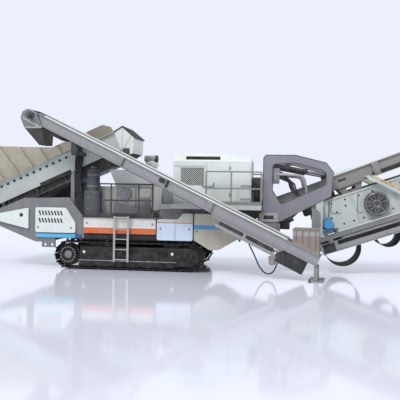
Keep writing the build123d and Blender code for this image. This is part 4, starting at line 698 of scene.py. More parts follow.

# %% [markdown]
# Plates between the rollers close the track frame at its lower edge, so that stones can't jam there. Each
# is cut with notches over the rollers. The chassis between the painted panels and the track lies in shade,
# and black strips in the rubber finish stand for that shade: painted shade.

# %% Rock guards and painted shade strips
GUARD_NOTCHES = 6
NOTCH_PITCH = 0.46
GUARD_TOP, GUARD_EDGE, NOTCH_EDGE = 0.20, 0.12, 0.09
guard_outline = [(-4.86, GUARD_TOP), (-4.86, GUARD_EDGE)]
for i in range(GUARD_NOTCHES):
    left = -4.70 + i * NOTCH_PITCH
    guard_outline += [(left, NOTCH_EDGE), (left + 0.32, NOTCH_EDGE), (left + 0.36, GUARD_EDGE),
                      (left + 0.42, GUARD_EDGE)]
guard_outline += [(-1.72, GUARD_EDGE), (-1.72, GUARD_TOP)]
settle(mirrored([cut_plate(guard_outline, -0.912, 0.014)]), "track_rock_guards", "track")
# Black strips in the rubber finish: painted shade on the chassis between the panels and the track.
settle(mirrored([block((-4.70, -0.876, 0.945), (-2.44, -0.859, 1.106), 0.004),
                 block((-2.44, -0.868, 0.945), (-0.85, -0.859, 0.975), 0.003)]),
       "chassis_painted_shade_strips", "rubber")

# %% [markdown]
# The covers on the chassis are pressed sheet. The louvred doors have two rows of leaning air slots, which
# look black because they are in shade. Each slot gets a dark insert for that shade, painted shade, cut to
# shape and set in the recess; one insert is modelled and copied along both rows.

# %% Louvre inserts
SLOT_LEAN = 20
SLOT_PITCH = 0.098
SLOTS_IN_ROW = 8
SLOT_HALF_WIDTH, SLOT_HALF_HEIGHT = 0.0245, 0.0735
slot_corners = [(-SLOT_HALF_WIDTH, -SLOT_HALF_HEIGHT), (SLOT_HALF_WIDTH, -SLOT_HALF_HEIGHT),
                (SLOT_HALF_WIDTH, SLOT_HALF_HEIGHT), (-SLOT_HALF_WIDTH, SLOT_HALF_HEIGHT)]
insert = placed(cut_plate(slot_corners, 0, 0.012, 0.002), turned(-SLOT_LEAN))
inserts = copies(insert, [at(-5.755 + (i - 3.5) * SLOT_PITCH, -0.9165, row)
                          for row in (1.47, 1.70) for i in range(SLOTS_IN_ROW)])
# Black inserts in the slots: painted shade.
settle(mirrored(inserts), "louvre_slot_painted_shade", "black")

# %% [markdown]
# A short black tapered disc on the nose cover's hole stands for its rolled edge and for the shade inside the
# hole: painted shade. A latch is a disc with a turn bar on it, and a seam is a thin dark bar in the gap
# between two covers, which reads as a shadow from where the photograph was taken.

# %% Painted shade in the nose hole, latches and seams
COVER_FACE, CABINET_FACE = -0.930, -0.990
nose_ring = rod((-6.697, COVER_FACE + 0.001, 1.623), (-6.697, COVER_FACE - 0.009, 1.623), 0.062, 32, 0.056)
# A solid black disc on the hole: painted shade.
settle(mirrored([nose_ring]), "nose_hole_painted_shade", "black")
latches = []
for x, y, z in ((-5.10, COVER_FACE, 1.25), (-6.15, COVER_FACE, 1.25), (-2.30, CABINET_FACE, 1.30),
                (-1.42, CABINET_FACE, 1.30), (-1.20, COVER_FACE, 1.25), (-0.02, COVER_FACE, 1.25),
                (-4.60, COVER_FACE, 1.42), (-2.56, COVER_FACE, 1.42)):
    latches += [rod((x, y + 0.002, z), (x, y - 0.008, z), 0.030, 20),
                block((x - 0.007, y - 0.014, z - 0.022), (x + 0.007, y - 0.004, z + 0.022), 0.003)]
settle(mirrored(latches), "cover_latches", "chassis")
seams = [block((-1.312, -0.880, 0.96), (-1.298, -0.859, 1.76), 0.003),
         block((-2.436, -0.880, 1.11), (-2.420, -0.859, 1.58), 0.003),
         block((-1.86, -0.9935, 0.99), (-1.85, -0.9885, 1.56), 0.002)]
settle(mirrored(seams), "cover_seams", "black")

# %% [markdown]
# The feeder's side plates are bolted to the hopper flange by a row of clamps, each a small plate with one
# large bolt. One clamp is modelled flat and its copies stand along the flange. Below them a black strip in
# the rubber finish stands for the shade in a slot of the web, and a black sheet-steel pan for the shade under
# the feeder: both are painted shade. A bearing on a plate stands at each end of the head drum.

# %% Feeder clamps, painted shade strips and pan, and head bearings
CLAMP_COUNT = 19
CLAMP_PITCH = 0.2325
FEEDER_WEB = 0.75
PAN_START, PAN_END, PAN_HALF_WIDTH, PAN_FLOOR = 0.95, 4.70, 0.64, -0.335
clamp_bolt = placed(bolt(0.026, 0.022, 1.2), at(0, 0, 0.012))
clamp_plate = block((-0.042, -0.034, 0), (0.042, 0.034, 0.014), 0.004)
clamps = copies(joined([clamp_plate, clamp_bolt]), [
    FEEDER @ at(0.30 + i * CLAMP_PITCH, -FEEDER_WEB, 0.475) @ NEAR_FACE for i in range(CLAMP_COUNT)])
settle(mirrored(clamps), "feeder_clamps", "black")
# A black strip in the rubber finish: painted shade in a slot of the feeder's web.
strip = block((2.20, -FEEDER_WEB - 0.016, -0.055), (3.30, -FEEDER_WEB + 0.002, 0.075), 0.006, FEEDER)
settle(mirrored([strip]), "feeder_slot_painted_shade", "rubber")
# A black pan under the belt: painted shade under the feeder.
pan = [block((PAN_START, -PAN_HALF_WIDTH, PAN_FLOOR), (PAN_END, PAN_HALF_WIDTH, PAN_FLOOR + 0.013), 0.004,
             FEEDER)]
pan += [block((along, side - 0.035, PAN_FLOOR), (along + 0.05, side + 0.035, 0.02), 0.004, FEEDER)
        for along in (1.0, 2.0, 3.0, 4.0, 4.6) for side in (-0.680, 0.680)]
for side in (-PAN_HALF_WIDTH, PAN_HALF_WIDTH):
    pan.append(block((PAN_START, side - 0.005, PAN_FLOOR), (PAN_END, side + 0.005, 0.0), 0.002, FEEDER))
settle(pan, "feeder_painted_shade_pan", "black")
end_bearing = rod((-3.543, -0.348, 3.669), (-3.543, -0.425, 3.669), 0.085, 28, 0.075)
end_plate = block((-3.655, -0.372, 3.58), (-3.43, -0.348, 3.76), 0.01)
settle(mirrored([end_bearing, end_plate]), "feeder_head_bearings", "dark")

# %% [markdown]
# The hood over the feeder's head ends in a thick rubber lip that keeps dust in. Its outline follows the two
# roof slopes, and the plate is extruded across the whole hood. Two folded seams run down each cheek.

# %% Hood lip and seams
HOOD_FACE = -0.348
lip = cut_plate([(-3.955, 4.235), (-3.675, 4.421), (-3.270, 4.086), (-3.246, 4.114), (-3.670, 4.462),
                 (-3.975, 4.262)], -0.375, 1.55)
settle([lip], "hood_rubber_lip", "rubber")
cheek_seam = block((-3.682, HOOD_FACE - 0.014, 3.78), (-3.668, HOOD_FACE, 4.40), 0.003)
lower_seam = block((-0.007, HOOD_FACE - 0.014, -0.24), (0.007, HOOD_FACE, 0.24), 0.003,
                   at(-3.49, 0, 3.98) @ turned(28))
settle(mirrored([cheek_seam, lower_seam]), "hood_cheek_seams", "feeder")

# %% [markdown]
# The power pack is a sheet-metal house over the engine. Its side has lift-off doors with a shadow gap
# between them. A door is a thin plate on the wall, and the gap is left open, so that it is dark by itself.

# %% Power pack doors
HOUSE_Y = -0.55
DOOR_LOW, DOOR_HIGH = 2.10, 3.31
doors = [block((left, HOUSE_Y - 0.012, low), (right, HOUSE_Y + 0.002, high), 0.004)
         for left, right, low, high in (
             (-0.945, -0.262, DOOR_LOW, DOOR_HIGH), (-0.244, 0.372, DOOR_LOW, DOOR_HIGH),
             (-1.965, -0.963, DOOR_LOW, 2.585), (-1.965, -0.963, 3.205, DOOR_HIGH),
             (-1.965, -1.80, 2.60, 3.19), (-1.03, -0.963, 2.60, 3.19))]
settle(mirrored(doors), "power_pack_doors", "pale")

# %% [markdown]
# The vent beside the doors is expanded metal. It starts as a flat grid whose faces are poked to the middle;
# dissolving the old edges leaves diamonds, and the Wireframe modifier turns them to strips. A pattern in
# the paint would be quicker, but it would have no depth.

# %% Power pack vent
VENT_LEFT, VENT_RIGHT, VENT_LOW, VENT_HIGH = -1.77, -1.05, 2.63, 3.17
deselect()
bpy.ops.mesh.primitive_grid_add(x_subdivisions=12, y_subdivisions=9, size=1)
vent = bpy.context.object
edit_all(vent)
bpy.ops.mesh.poke()
bpy.ops.mesh.select_mode(type="EDGE")
bpy.ops.mesh.select_all(action="DESELECT")
bpy.ops.object.mode_set(mode="OBJECT")
for edge in vent.data.edges:
    first, last = (vent.data.vertices[i].co for i in edge.vertices)
    square = abs(first.x - last.x) < 1e-5 or abs(first.y - last.y) < 1e-5
    rim = max(abs(first.x + last.x), abs(first.y + last.y)) > 0.999
    edge.select = square and not rim
bpy.ops.object.mode_set(mode="EDIT")
bpy.ops.mesh.dissolve_edges()
bpy.ops.object.mode_set(mode="OBJECT")
placed(vent, at((VENT_LEFT + VENT_RIGHT) / 2, HOUSE_Y + 0.014, (VENT_LOW + VENT_HIGH) / 2) @ NEAR_FACE
       @ Matrix.Diagonal((VENT_RIGHT - VENT_LEFT, VENT_HIGH - VENT_LOW, 1, 1)))
modified(vent, "WIREFRAME", thickness=0.017, use_even_offset=False)
settle(mirrored([vent]), "power_pack_vent_mesh", "pale")

# %% [markdown]
# It is in shade behind the vent and in the air outlet over the doors, and black parts stand for that shade,
# painted shade: a plate closes the vent, and the outlet has a row of slats, copied from one bar, in front
# of another plate.

# %% Power pack grilles
SLAT_COUNT = 22
SLAT_PITCH = 0.0477
grilles = [block((VENT_LEFT + 0.002, HOUSE_Y + 0.024, VENT_LOW + 0.002),
                 (VENT_RIGHT - 0.002, HOUSE_Y + 0.031, VENT_HIGH - 0.002), 0.002),
           block((-1.617, -0.438, 3.423), (-0.563, -0.429, 3.522), 0.002)]
slat = block((-0.009, -0.474, 3.424), (0.009, -0.436, 3.521), 0.003)
grilles += copies(slat, [at(-1.59 + i * SLAT_PITCH, 0, 0) for i in range(SLAT_COUNT)])
# Black plate and slats: painted shade behind the vent and in the outlet.
settle(mirrored(grilles), "power_pack_painted_shade_grilles", "black")

# %% [markdown]
# Handles are bent from round bar and welded on by their ends, so each is a pipe along four points. The
# drain pipe on the left is a smooth bend, and two flat keepers bridge the gap between the doors. All are
# copied to the far side by the mirror.

# %% Power pack handles
GRIP_RADIUS = 0.014
grips = [pipe([(0.09, HOUSE_Y - 0.008, z), (0.09, HOUSE_Y - 0.052, z), (0.365, HOUSE_Y - 0.052, z),
               (0.365, HOUSE_Y - 0.008, z)], GRIP_RADIUS, smooth=False) for z in (2.635, 2.24)]
grips.append(pipe([(-1.11, -0.556, 2.68), (-1.11, -0.590, 2.66), (-1.09, -0.595, 2.602),
                   (-0.95, -0.595, 2.600), (-0.78, -0.595, 2.602), (-0.745, -0.590, 2.66),
                   (-0.74, -0.556, 2.735)], GRIP_RADIUS))
grips += [block((-0.270, -0.574, z), (-0.236, -0.560, z + 0.11), 0.004) for z in (2.30, 3.12)]
settle(mirrored(grips), "power_pack_handles", "chassis")

# %% [markdown]
# Between the power pack and the boom, oil hoses run from the cooler down to the valves. Each is a smooth
# pipe with a hexagon fitting at both ends. They differ a little in their bulge, as hoses of one bundle do.

# %% Cooler hoses
VALVE_TOP = 2.045
hoses = [block((0.45, -0.60, VALVE_TOP + 0.001), (0.68, -0.53, VALVE_TOP + 0.017), 0.004)]
for i in range(5):
    x, top, bulge = 0.475 + 0.042 * i, 2.78 - 0.09 * i, 0.05 + 0.012 * (i % 3)
    hoses += [pipe([(x, -0.535, top), (x, -0.575 - bulge, top), (x + 0.01, -0.60 - bulge, top - 0.25),
                    (x + 0.02, -0.60 - bulge, 2.30), (x + 0.01, -0.59, 2.12), (x, -0.58, VALVE_TOP)], 0.017),
              rod((x, -0.530, top), (x, -0.565, top), 0.026, 6),
              rod((x, -0.58, VALVE_TOP), (x, -0.58, VALVE_TOP + 0.04), 0.026, 6)]
settle(hoses, "cooler_hoses", "hose")

# %% [markdown]
# The oil tank is strapped down with two steel bands and has a filler cap and two round plugs. A band is a
# ring cut from a cylinder: its end caps are left open and Solidify gives the rest a thickness. A small
# block clamps its ends.

# %% Oil tank bands and cap
TANK_X, TANK_Y = -4.54, -0.46
BAND_RADIUS = 0.199
bands = []
for z in (2.55, 2.90):
    deselect()
    bpy.ops.mesh.primitive_cylinder_add(vertices=48, radius=BAND_RADIUS, depth=0.05, end_fill_type="NOTHING",
                                        location=(TANK_X, TANK_Y, z))
    bpy.ops.object.transform_apply(location=True, rotation=True, scale=True)
    bands.append(modified(bpy.context.object, "SOLIDIFY", thickness=0.008, offset=1))
    bands.append(block((TANK_X - 0.02, TANK_Y - 0.235, z - 0.03), (TANK_X + 0.02, TANK_Y - 0.195, z + 0.03)))
bands.append(rod((TANK_X, TANK_Y, 3.115), (TANK_X, TANK_Y, 3.165), 0.105, 12, 0.095))
bands += [rod((TANK_X - 0.10, -0.679, z), (TANK_X - 0.10, -0.694, z), 0.032, 16) for z in (1.85, 2.20)]
settle(bands, "oil_tank_fittings", "chassis")

# %% [markdown]
# The boom's plates are edged with a dark weld line all round the outline and the window. The line is taken
# from the plate itself: a copy of it is merged, only its outer face is kept, and the loop round that face
# becomes a curve with a round section. That follows every rounded corner exactly.

# %% Boom edge welds
BOOM_FACE = -0.700
BEAD_RADIUS = 0.011
beads = []
for node, face_y in (("boom_frame_near", BOOM_FACE), ("boom_frame_far", 2 * mid_y - BOOM_FACE)):
    plate_copy = copy_of(nodes[node], nodes[node].matrix_world.copy())
    plate_copy.parent = None
    plate_copy.matrix_world = PLANT
    edit_all(plate_copy)
    bpy.ops.mesh.select_mode(type="FACE")
    bpy.ops.mesh.select_all(action="SELECT")
    bpy.ops.mesh.remove_doubles(threshold=0.0005)
    bpy.ops.mesh.select_all(action="DESELECT")
    bpy.ops.object.mode_set(mode="OBJECT")
    for face in plate_copy.data.polygons:
        face.select = abs(face.center.y - face_y) > 0.002 or abs(face.normal.y) < 0.9
    bpy.ops.object.mode_set(mode="EDIT")
    bpy.ops.mesh.delete(type="FACE")
    bpy.ops.mesh.select_all(action="SELECT")
    bpy.ops.mesh.region_to_loop()
    bpy.ops.mesh.select_all(action="INVERT")
    bpy.ops.mesh.delete(type="EDGE_FACE")
    bpy.ops.object.mode_set(mode="OBJECT")
    bpy.ops.object.convert(target="CURVE")
    bead = bpy.context.object
    bead.data.bevel_depth = BEAD_RADIUS
    bead.data.bevel_resolution = 2
    bpy.ops.object.convert(target="MESH")
    beads.append(bpy.context.object)
settle(beads, "boom_edge_welds", "dark")

# %% [markdown]
# Inside the boom a cylinder tilts the main conveyor. It has a dark barrel with two collars, a bright rod,
# and an eye at each end that is pinned to a lug behind the plate. The turned parts are rods and the eyes
# are blocks with well-rounded edges.

# %% Boom cylinder
CYLINDER_Y = -0.585
COLLAR_RADIUS = 0.072
barrel = [rod((1.10, CYLINDER_Y, 3.262), (2.02, CYLINDER_Y, 3.105), 0.062, 28),
          rod((2.00, CYLINDER_Y, 3.108), (2.08, CYLINDER_Y, 3.095), COLLAR_RADIUS, 28),
          rod((1.06, CYLINDER_Y, 3.269), (1.13, CYLINDER_Y, 3.257), COLLAR_RADIUS, 28),
          block((0.98, -0.641, 3.19), (1.10, -0.530, 3.35), 0.012),
          block((2.60, -0.641, 2.92), (2.76, -0.530, 3.06), 0.012)]
settle(mirrored(barrel), "boom_cylinder_barrels", "black")
ram = [rod((2.05, CYLINDER_Y, 3.100), (2.66, CYLINDER_Y, 2.995), 0.036, 24),
       rod((1.42, -0.560, 2.995), (1.42, -0.640, 2.995), 0.02, 12)]
settle(mirrored(ram), "boom_cylinder_rods", "steel")

# %% [markdown]
# A steel pipe and three hoses feed the cylinder from a valve box. The pipe stays in one plane, as a bent
# pipe does, and the hoses sag out of it, each a little differently.

# %% Boom pipe, hoses and valve box
PIPE_Y = -0.60
pressure_pipe = pipe([(x, PIPE_Y, z) for x, z in (
    (1.00, 2.99), (1.20, 3.0), (1.60, 2.985), (1.86, 2.97), (1.98, 2.90), (2.02, 2.72), (2.06, 2.52),
    (2.06, 2.40))], 0.042)
clips = [block((x, -0.645, 2.93), (x + 0.05, -0.55, 3.05), 0.01) for x in (1.00, 1.09)]
settle(mirrored([pressure_pipe] + clips), "boom_pressure_pipes", "galvanised")
lines = [pipe([(1.02, PIPE_Y, 3.13 - 0.05 * i), (1.30, -0.56, 3.10 - 0.10 * i),
               (1.55 + 0.08 * i, -0.53, 2.85 - 0.05 * i), (1.60 + 0.06 * i, -0.53, 2.60),
               (1.78 + 0.05 * i, -0.56, 2.35), (1.95, -0.636, 2.28 - 0.05 * i)], 0.022) for i in range(3)]
settle(mirrored(lines), "boom_hoses", "hose")
valve_box = [block((0.98, -0.625, 2.74), (1.25, -0.46, 3.20), 0.018),
             block((1.02, -0.640, 2.80), (1.21, -0.620, 2.96), 0.006),
             block((1.02, -0.640, 3.00), (1.21, -0.620, 3.14), 0.006)]
settle(mirrored(valve_box), "boom_valve_boxes", "boom")

# %% [markdown]
# The foot of each boom plate is bolted to the base beam through a bracket with a rectangular window. Four
# flat bars leave the window open, and a black plate lies in it for the shade inside: painted shade.

# %% Boom foot bracket
FOOT_LEFT, FOOT_RIGHT, FOOT_FRONT, FOOT_BACK = 0.655, 1.225, -0.722, -0.699
foot = [block((left, FOOT_FRONT, low), (right, FOOT_BACK, high), bevel)
        for left, right, low, high, bevel in (
            (FOOT_LEFT, FOOT_RIGHT, 1.56, 1.645, 0.006), (FOOT_LEFT, FOOT_RIGHT, 1.755, 1.83, 0.006),
            (FOOT_LEFT, 0.80, 1.640, 1.760, 0.004), (1.09, FOOT_RIGHT, 1.640, 1.760, 0.004))]
settle(mirrored(foot), "boom_foot_brackets", "light_grey")
pocket = block((0.79, -0.706, 1.635), (1.10, FOOT_BACK, 1.765), 0.002)
# A black plate in the window: painted shade.
settle(mirrored([pocket]), "boom_foot_painted_shade", "black")

# %% [markdown]
# Each conveyor has skirt boards along the top of its channels, which keep stone on the belt. They are painted
# white for the light along their top, a painted highlight that shows as a pale line. A board is one bar in
# its conveyor's frame.

# %% Conveyor skirt boards
BOTH_SIDES = (-1, 1)
boards = [block((start, sign * half - 0.012, -0.004), (end, sign * half + 0.012, height), 0.004, frame)
          for frame, start, end, half, height in ((MAIN, 5.60, 9.45, 0.585, 0.085),
                                                  (RETURN, 0.55, 8.70, 0.375, 0.035),
                                                  (PRODUCT, 0.70, 6.20, 0.665, 0.045))
          for sign in BOTH_SIDES]
# White boards: real skirt boards, painted white as a highlight.
settle(boards, "conveyor_skirt_boards_painted_highlight", "white")

# %% [markdown]
# The channels are bolted together from lengths, so a splice plate with eight bolts covers each joint. One
# function makes a plate with its bolts, because the conveyors differ only in size.

# %% Conveyor splices
FAR_SIDE = turned(180, "Z")
MAIN_DEPTH, RETURN_DEPTH, PRODUCT_DEPTH = 0.42, 0.30, 0.33
MAIN_WEB, RETURN_WEB, PRODUCT_WEB = -0.615, -0.405, -0.695


def splice(frame, along, across, depth):
    """A bolted joint plate on the near channel of a conveyor."""
    plate = block((along - 0.10, across - 0.016, -depth + 0.02), (along + 0.10, across, -0.02), 0.005)
    heads = copies(bolt(0.014, 0.014), [
        at(along + side * x, across - 0.014, -depth / 2 + z) @ NEAR_FACE
        for side in BOTH_SIDES for x in (0.035, 0.075) for z in (-0.25 * depth, 0.25 * depth)])
    return placed(joined([plate] + heads), frame)


joints = [splice(frame, along, across, depth) for frame, along, across, depth in (
    (MAIN, 6.95, MAIN_WEB, MAIN_DEPTH), (MAIN, 8.55, MAIN_WEB, MAIN_DEPTH),
    (RETURN, 3.30, RETURN_WEB, RETURN_DEPTH), (RETURN, 6.30, RETURN_WEB, RETURN_DEPTH),
    (PRODUCT, 3.1, PRODUCT_WEB, PRODUCT_DEPTH),
    (MAIN @ FAR_SIDE, -6.95, MAIN_WEB, MAIN_DEPTH), (RETURN @ FAR_SIDE, -3.30, RETURN_WEB, RETURN_DEPTH))]
settle(joints, "conveyor_splices", "conveyor")

# %% [markdown]
# A row of small brackets carries the idler rollers on which the belt runs back. A roller and its two
# brackets are one set, which is placed at even steps under the belt.

# %% Conveyor idlers
def idler_set(frame, along, half_width, z):
    """A carrying roller between two brackets under the belt."""
    reach = half_width - 0.05
    roller = rod((along, -half_width + 0.09, z), (along, half_width - 0.09, z), 0.040, 16)
    arms = [block((along - 0.03, side - 0.035, z - 0.05), (along + 0.03, side + 0.035, z + 0.05), 0.006)
            for side in (-reach, reach)]
    return placed(joined([roller] + arms), frame)


idlers = [idler_set(MAIN, 0.9 + 0.95 * i, 0.56, -0.36) for i in range(9)]
idlers += [idler_set(RETURN, 0.9 + 1.1 * i, 0.35, -0.262) for i in range(8)]
settle(idlers, "conveyor_return_idlers", "steel")

# %% [markdown]
# The vibrating screen's side plates are stiffened by flat bars and held together by rows of bolts, and two
# bent bars show where pockets for the deck wedges are. Ribs and bolts are laid out in the screen's own
# tilted frame.

# %% Screen side plate details
SCREEN_FACE = -0.985
POCKET_Y = -0.590
spots = [(0.25 + 0.30 * i, 0.16) for i in range(12)] + [(0.25 + 0.42 * i, 0.84) for i in range(9)]
spots += [(0.16, 0.30 + 0.13 * i) for i in range(4)]
spots += [(0.55, 0.42), (0.75, 0.55), (1.05, 0.66), (2.75, 0.62), (2.95, 0.40), (3.35, 0.55)]
heads = copies(bolt(0.020, 0.018), [SCREEN @ at(along, SCREEN_FACE, up) @ NEAR_FACE for along, up in spots])
settle(mirrored(heads), "screen_bolts", "black")
ribs = [block((along, SCREEN_FACE - 0.022, 0.10), (along + 0.022, SCREEN_FACE + 0.002, 0.93), frame=SCREEN)
        for along in (0.42, 1.30, 2.52, 3.25)]
ribs.append(block((0.10, SCREEN_FACE - 0.03, 0.945), (3.80, SCREEN_FACE + 0.002, 0.975), frame=SCREEN))
settle(mirrored(ribs), "screen_ribs", "screen")
pockets = []
for left, right, top, low in ((2.80, 3.09, 2.31, 1.86), (3.57, 3.72, 2.43, 1.90)):
    bends = ((left, top), (left, low + 0.05), (left + 0.05, low), (right - 0.03, low), (right, low + 0.04))
    pockets.append(pipe([(x, POCKET_Y, z) for x, z in bends], 0.011, smooth=False))
settle(mirrored(pockets), "screen_pocket_bars", "chassis")

# %% [markdown]
# The screen floats on four coil springs. A spring is a small circle turned about an axis while it climbs,
# which is what the Screw modifier does. Two end plates close it, and the four copies stand square to the
# screen.

# %% Screen springs
WIRE_RADIUS, COIL_RADIUS = 0.011, 0.043
COIL_COUNT, COIL_PITCH = 4, 0.030
deselect()
bpy.ops.mesh.primitive_circle_add(vertices=10, radius=WIRE_RADIUS)
coil = placed(bpy.context.object, at(COIL_RADIUS, 0, -COIL_COUNT * COIL_PITCH / 2) @ turned(90, "X"))
modified(coil, "SCREW", screw_offset=COIL_PITCH, iterations=COIL_COUNT, steps=20, render_steps=20,
         use_normal_calculate=True)
edit_all(coil)
bpy.ops.mesh.remove_doubles(threshold=0.0001)
bpy.ops.mesh.normals_make_consistent(inside=False)
bpy.ops.object.mode_set(mode="OBJECT")
ends = [rod((0, 0, low), (0, 0, low + 0.012), 0.055, 28) for low in (-0.0725, 0.0605)]
springs = copies(joined([coil] + ends), [
    at(x, y, z) @ turned(-SCREEN_SLOPE)
    for y in (-0.685, 1.485) for x, z in ((2.9384, 1.3654), (5.8180, 2.3458))])
coils = settle(springs, "screen_coil_springs", "steel")
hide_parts("screen_springs")

# %% [markdown]
# The screen's motor is a cast housing with cooling fins, a fan cowl, a terminal box and a foot. The fins
# are one bar, copied round the axis. A cable leaves the terminal box upwards.

# %% Screen motor details
MOTOR_X, MOTOR_Z = 2.71, 1.53
FIN_COUNT = 22
MOTOR = at(MOTOR_X, 0, MOTOR_Z)
fin = block((-0.006, -0.83, 0.120), (0.006, -0.64, 0.152), 0.002)
housing = copies(fin, [MOTOR @ turned(360 * i / FIN_COUNT) for i in range(FIN_COUNT)])
housing += [rod((0, -0.835, 0), (0, -0.925, 0), 0.146, 32, 0.120, frame=MOTOR),
            rod((0, -0.645, 0), (0, -0.586, 0), 0.165, 32, frame=MOTOR),
            block((-0.085, -0.80, 0.13), (0.075, -0.655, 0.225), 0.012, MOTOR),
            block((-0.14, -0.82, -0.185), (0.14, -0.60, -0.145), 0.008, MOTOR)]
settle(housing, "screen_motor_housing", "motor")
cable = placed(pipe([(0, -0.73, 0.215), (0.01, -0.73, 0.30), (0.02, -0.68, 0.40), (0.03, -0.60, 0.52),
                     (0.02, -0.588, 0.72), (-0.02, -0.588, 0.78)], 0.014), MOTOR)
settle([cable], "screen_motor_cable", "hose")

# %% [markdown]
# A yellow tension rod lies on each strut that carries the screen's high end, held by three lugs.

# %% Tension rods on the struts
STRUT_FALL = 0.487
STRUT_Y = -0.748
STRUT_X, STRUT_END_X, STRUT_Z = 3.97, 5.40, 3.004
strut_end_z = STRUT_Z - (STRUT_END_X - STRUT_X) * STRUT_FALL
tension_rod = rod((STRUT_X, STRUT_Y, STRUT_Z), (STRUT_END_X, STRUT_Y, strut_end_z), 0.024, 20)
settle(mirrored([tension_rod]), "strut_tension_rods", "yellow")
lugs = []
for x in (4.03, 4.66, 5.30):
    z = STRUT_Z - (x - STRUT_X) * STRUT_FALL
    lugs.append(block((x - 0.03, STRUT_Y - 0.024, z - 0.075), (x + 0.03, STRUT_Y + 0.016, z + 0.035), 0.008))
settle(mirrored(lugs), "strut_rod_lugs", "screen")

# %% [markdown]
# Under the return conveyor hangs an oil pot, turned and domed, on a bracket below the truss plate. A dome
# is a sphere squeezed flat, joined to a turned cup. Two short hoses hang in a loop from the chassis to the
# truss.

# %% Oil pot and service hoses
POT = at(1.085, -2.00, 0)
POT_RADIUS = 0.105
deselect()
bpy.ops.mesh.primitive_uv_sphere_add(segments=28, ring_count=14, radius=POT_RADIUS)
dome = placed(bpy.context.object, POT @ at(0, 0, 0.47) @ Matrix.Diagonal((1, 1, 0.62, 1)))
pot = [dome, rod((0, 0, 0.46), (0, 0, 0.63), POT_RADIUS, 28, frame=POT),
       rod((0, 0, 0.60), (0, 0, 0.64), 0.125, 28, frame=POT),
       block((-0.10, -0.10, 0.635), (0.10, 0.10, 0.66), 0.006, POT),
       block((-0.05, -0.10, 0.655), (0.05, -0.07, 0.80), 0.006, POT)]
settle(pot, "return_oil_pot", "conveyor")
service = [pipe(points, 0.018) for points in (
    [(0.12, -0.865, 1.30), (0.12, -0.94, 1.28), (0.15, -1.04, 1.12), (0.18, -1.14, 1.08),
     (0.185, -1.23, 1.19), (0.185, -1.296, 1.247)],
    [(0.04, -0.865, 1.22), (0.04, -0.94, 1.19), (0.08, -1.04, 1.00), (0.12, -1.15, 0.98),
     (0.133, -1.23, 1.14), (0.133, -1.290, 1.228)])]
settle(service, "service_hoses", "hose")

# %% [markdown]
# The tail hopper of the return conveyor is stiffened by upright flat bars and a folded rim. The bars stand
# in the conveyor's own direction, so they are laid out from the tail and turned with it.

# %% Tail hopper ribs
bars = []
for side in (-0.416, 0.416):
    outer, inner = side - 0.013, side + 0.013
    bars += [block((along, outer, low), (along + 0.03, inner, 1.43), 0.004, TAIL)
             for along, low in ((-0.70, 1.14), (-0.52, 1.06), (-0.34, 0.98), (-0.16, 0.90))]
    bars.append(block((-0.782, outer, 1.42), (-0.058, inner, 1.458), 0.005, TAIL))
settle(bars, "tail_hopper_ribs", "weathered")

# %% [markdown]
# The jaw crusher stands in the middle of the deck, behind the rails. Its cast side has a bolted cover over
# the swing jaw's shaft and two rows of cover bolts, and a white spring box stands beside it. A dust panel
# and a spill plate rise from the deck in front.

# %% Crusher side details
COVER_X, COVER_Z = -3.57, 2.31
DECK_Z = 1.631
covers = [rod((COVER_X, -0.215, COVER_Z), (COVER_X, -0.330, COVER_Z), 0.20, 40, 0.18),
          rod((COVER_X, -0.325, COVER_Z), (COVER_X, -0.360, COVER_Z), 0.10, 32)]
covers += [block((-3.80, -0.300, z - 0.05), (-2.72, -0.275, z + 0.05), 0.008) for z in (2.57, 1.71)]
covers += copies(bolt(0.018, 0.016), [
    at(x, y, z) @ NEAR_FACE
    for x, y, z in [(COVER_X + x, -0.328, COVER_Z + z) for x, z in circle_spots(10, 0.155)]
    + [(-3.74 + 0.115 * i, -0.298, z) for i in range(9) for z in (2.57, 1.71)]])
settle(mirrored(covers), "crusher_side_covers", "light_grey")
spring_box = [block((-3.19, -0.355, 2.19), (-2.74, -0.215, 2.50), 0.04)]
spring_box += [block((-3.15, -0.372, z), (-2.78, -0.350, z + 0.04), 0.008) for z in (2.23, 2.42)]
settle(mirrored(spring_box), "crusher_spring_boxes", "guard")
dust_panel = [block((-4.45, -0.240, DECK_Z), (-3.86, -0.220, 2.56), 0.006),
              block((-4.45, -0.262, 2.52), (-3.86, -0.236, 2.56), 0.006),
              block((-4.10, -0.262, DECK_Z), (-4.07, -0.236, 2.53), 0.006)]
settle(mirrored(dust_panel), "crusher_dust_panels", "casting")
spill_outline = [(-3.88, DECK_Z), (-2.70, DECK_Z), (-2.70, 2.08), (-3.18, 1.90), (-3.88, 2.09)]
spill_plate = [cut_plate(spill_outline, -0.46, 0.016),
               block((-3.88, -0.46, DECK_Z), (-2.70, -0.40, DECK_Z + 0.014), 0.003)]
settle(mirrored(spill_plate), "crusher_spill_plates", "boom")

# %% [markdown]
# Beside the light post a bundle of hydraulic hoses drops from the feeder's drive to the chassis. Each hose
# is one smooth curve from the feeder's plate to the chassis, and no two hang quite alike. Two ties hold the
# bundle.

# %% Feeder hose bundle
bundle = []
for i in range(6):
    left, sway = -5.13 + 0.045 * i, i % 2
    bundle.append(pipe([
        (left, -0.352, 3.60 - 0.03 * i), (left, -0.46, 3.54 - 0.03 * i),
        (-5.12 + 0.030 * i, -0.50 - 0.012 * sway, 2.85), (-5.05 + 0.032 * i, -0.53, 2.40),
        (-5.02 + 0.034 * i, -0.58 - 0.010 * sway, 2.00), (-4.99 + 0.034 * i, -0.70, 1.72),
        (-4.99 + 0.034 * i, -0.80, 1.50)], 0.020))
ties = [block((-5.15, -0.548, 2.86), (-4.94, -0.470, 2.90), 0.01),
        block((-5.09, -0.575, 2.36), (-4.87, -0.495, 2.40), 0.01)]
settle(bundle + ties, "feeder_hose_bundle", "hose")

# %% [markdown]
# The return conveyor carries a black drive box under its head and a bearing with the drive motor on the
# chute's cheek. Both are laid out in the conveyor's own slope, so they sit square on it.

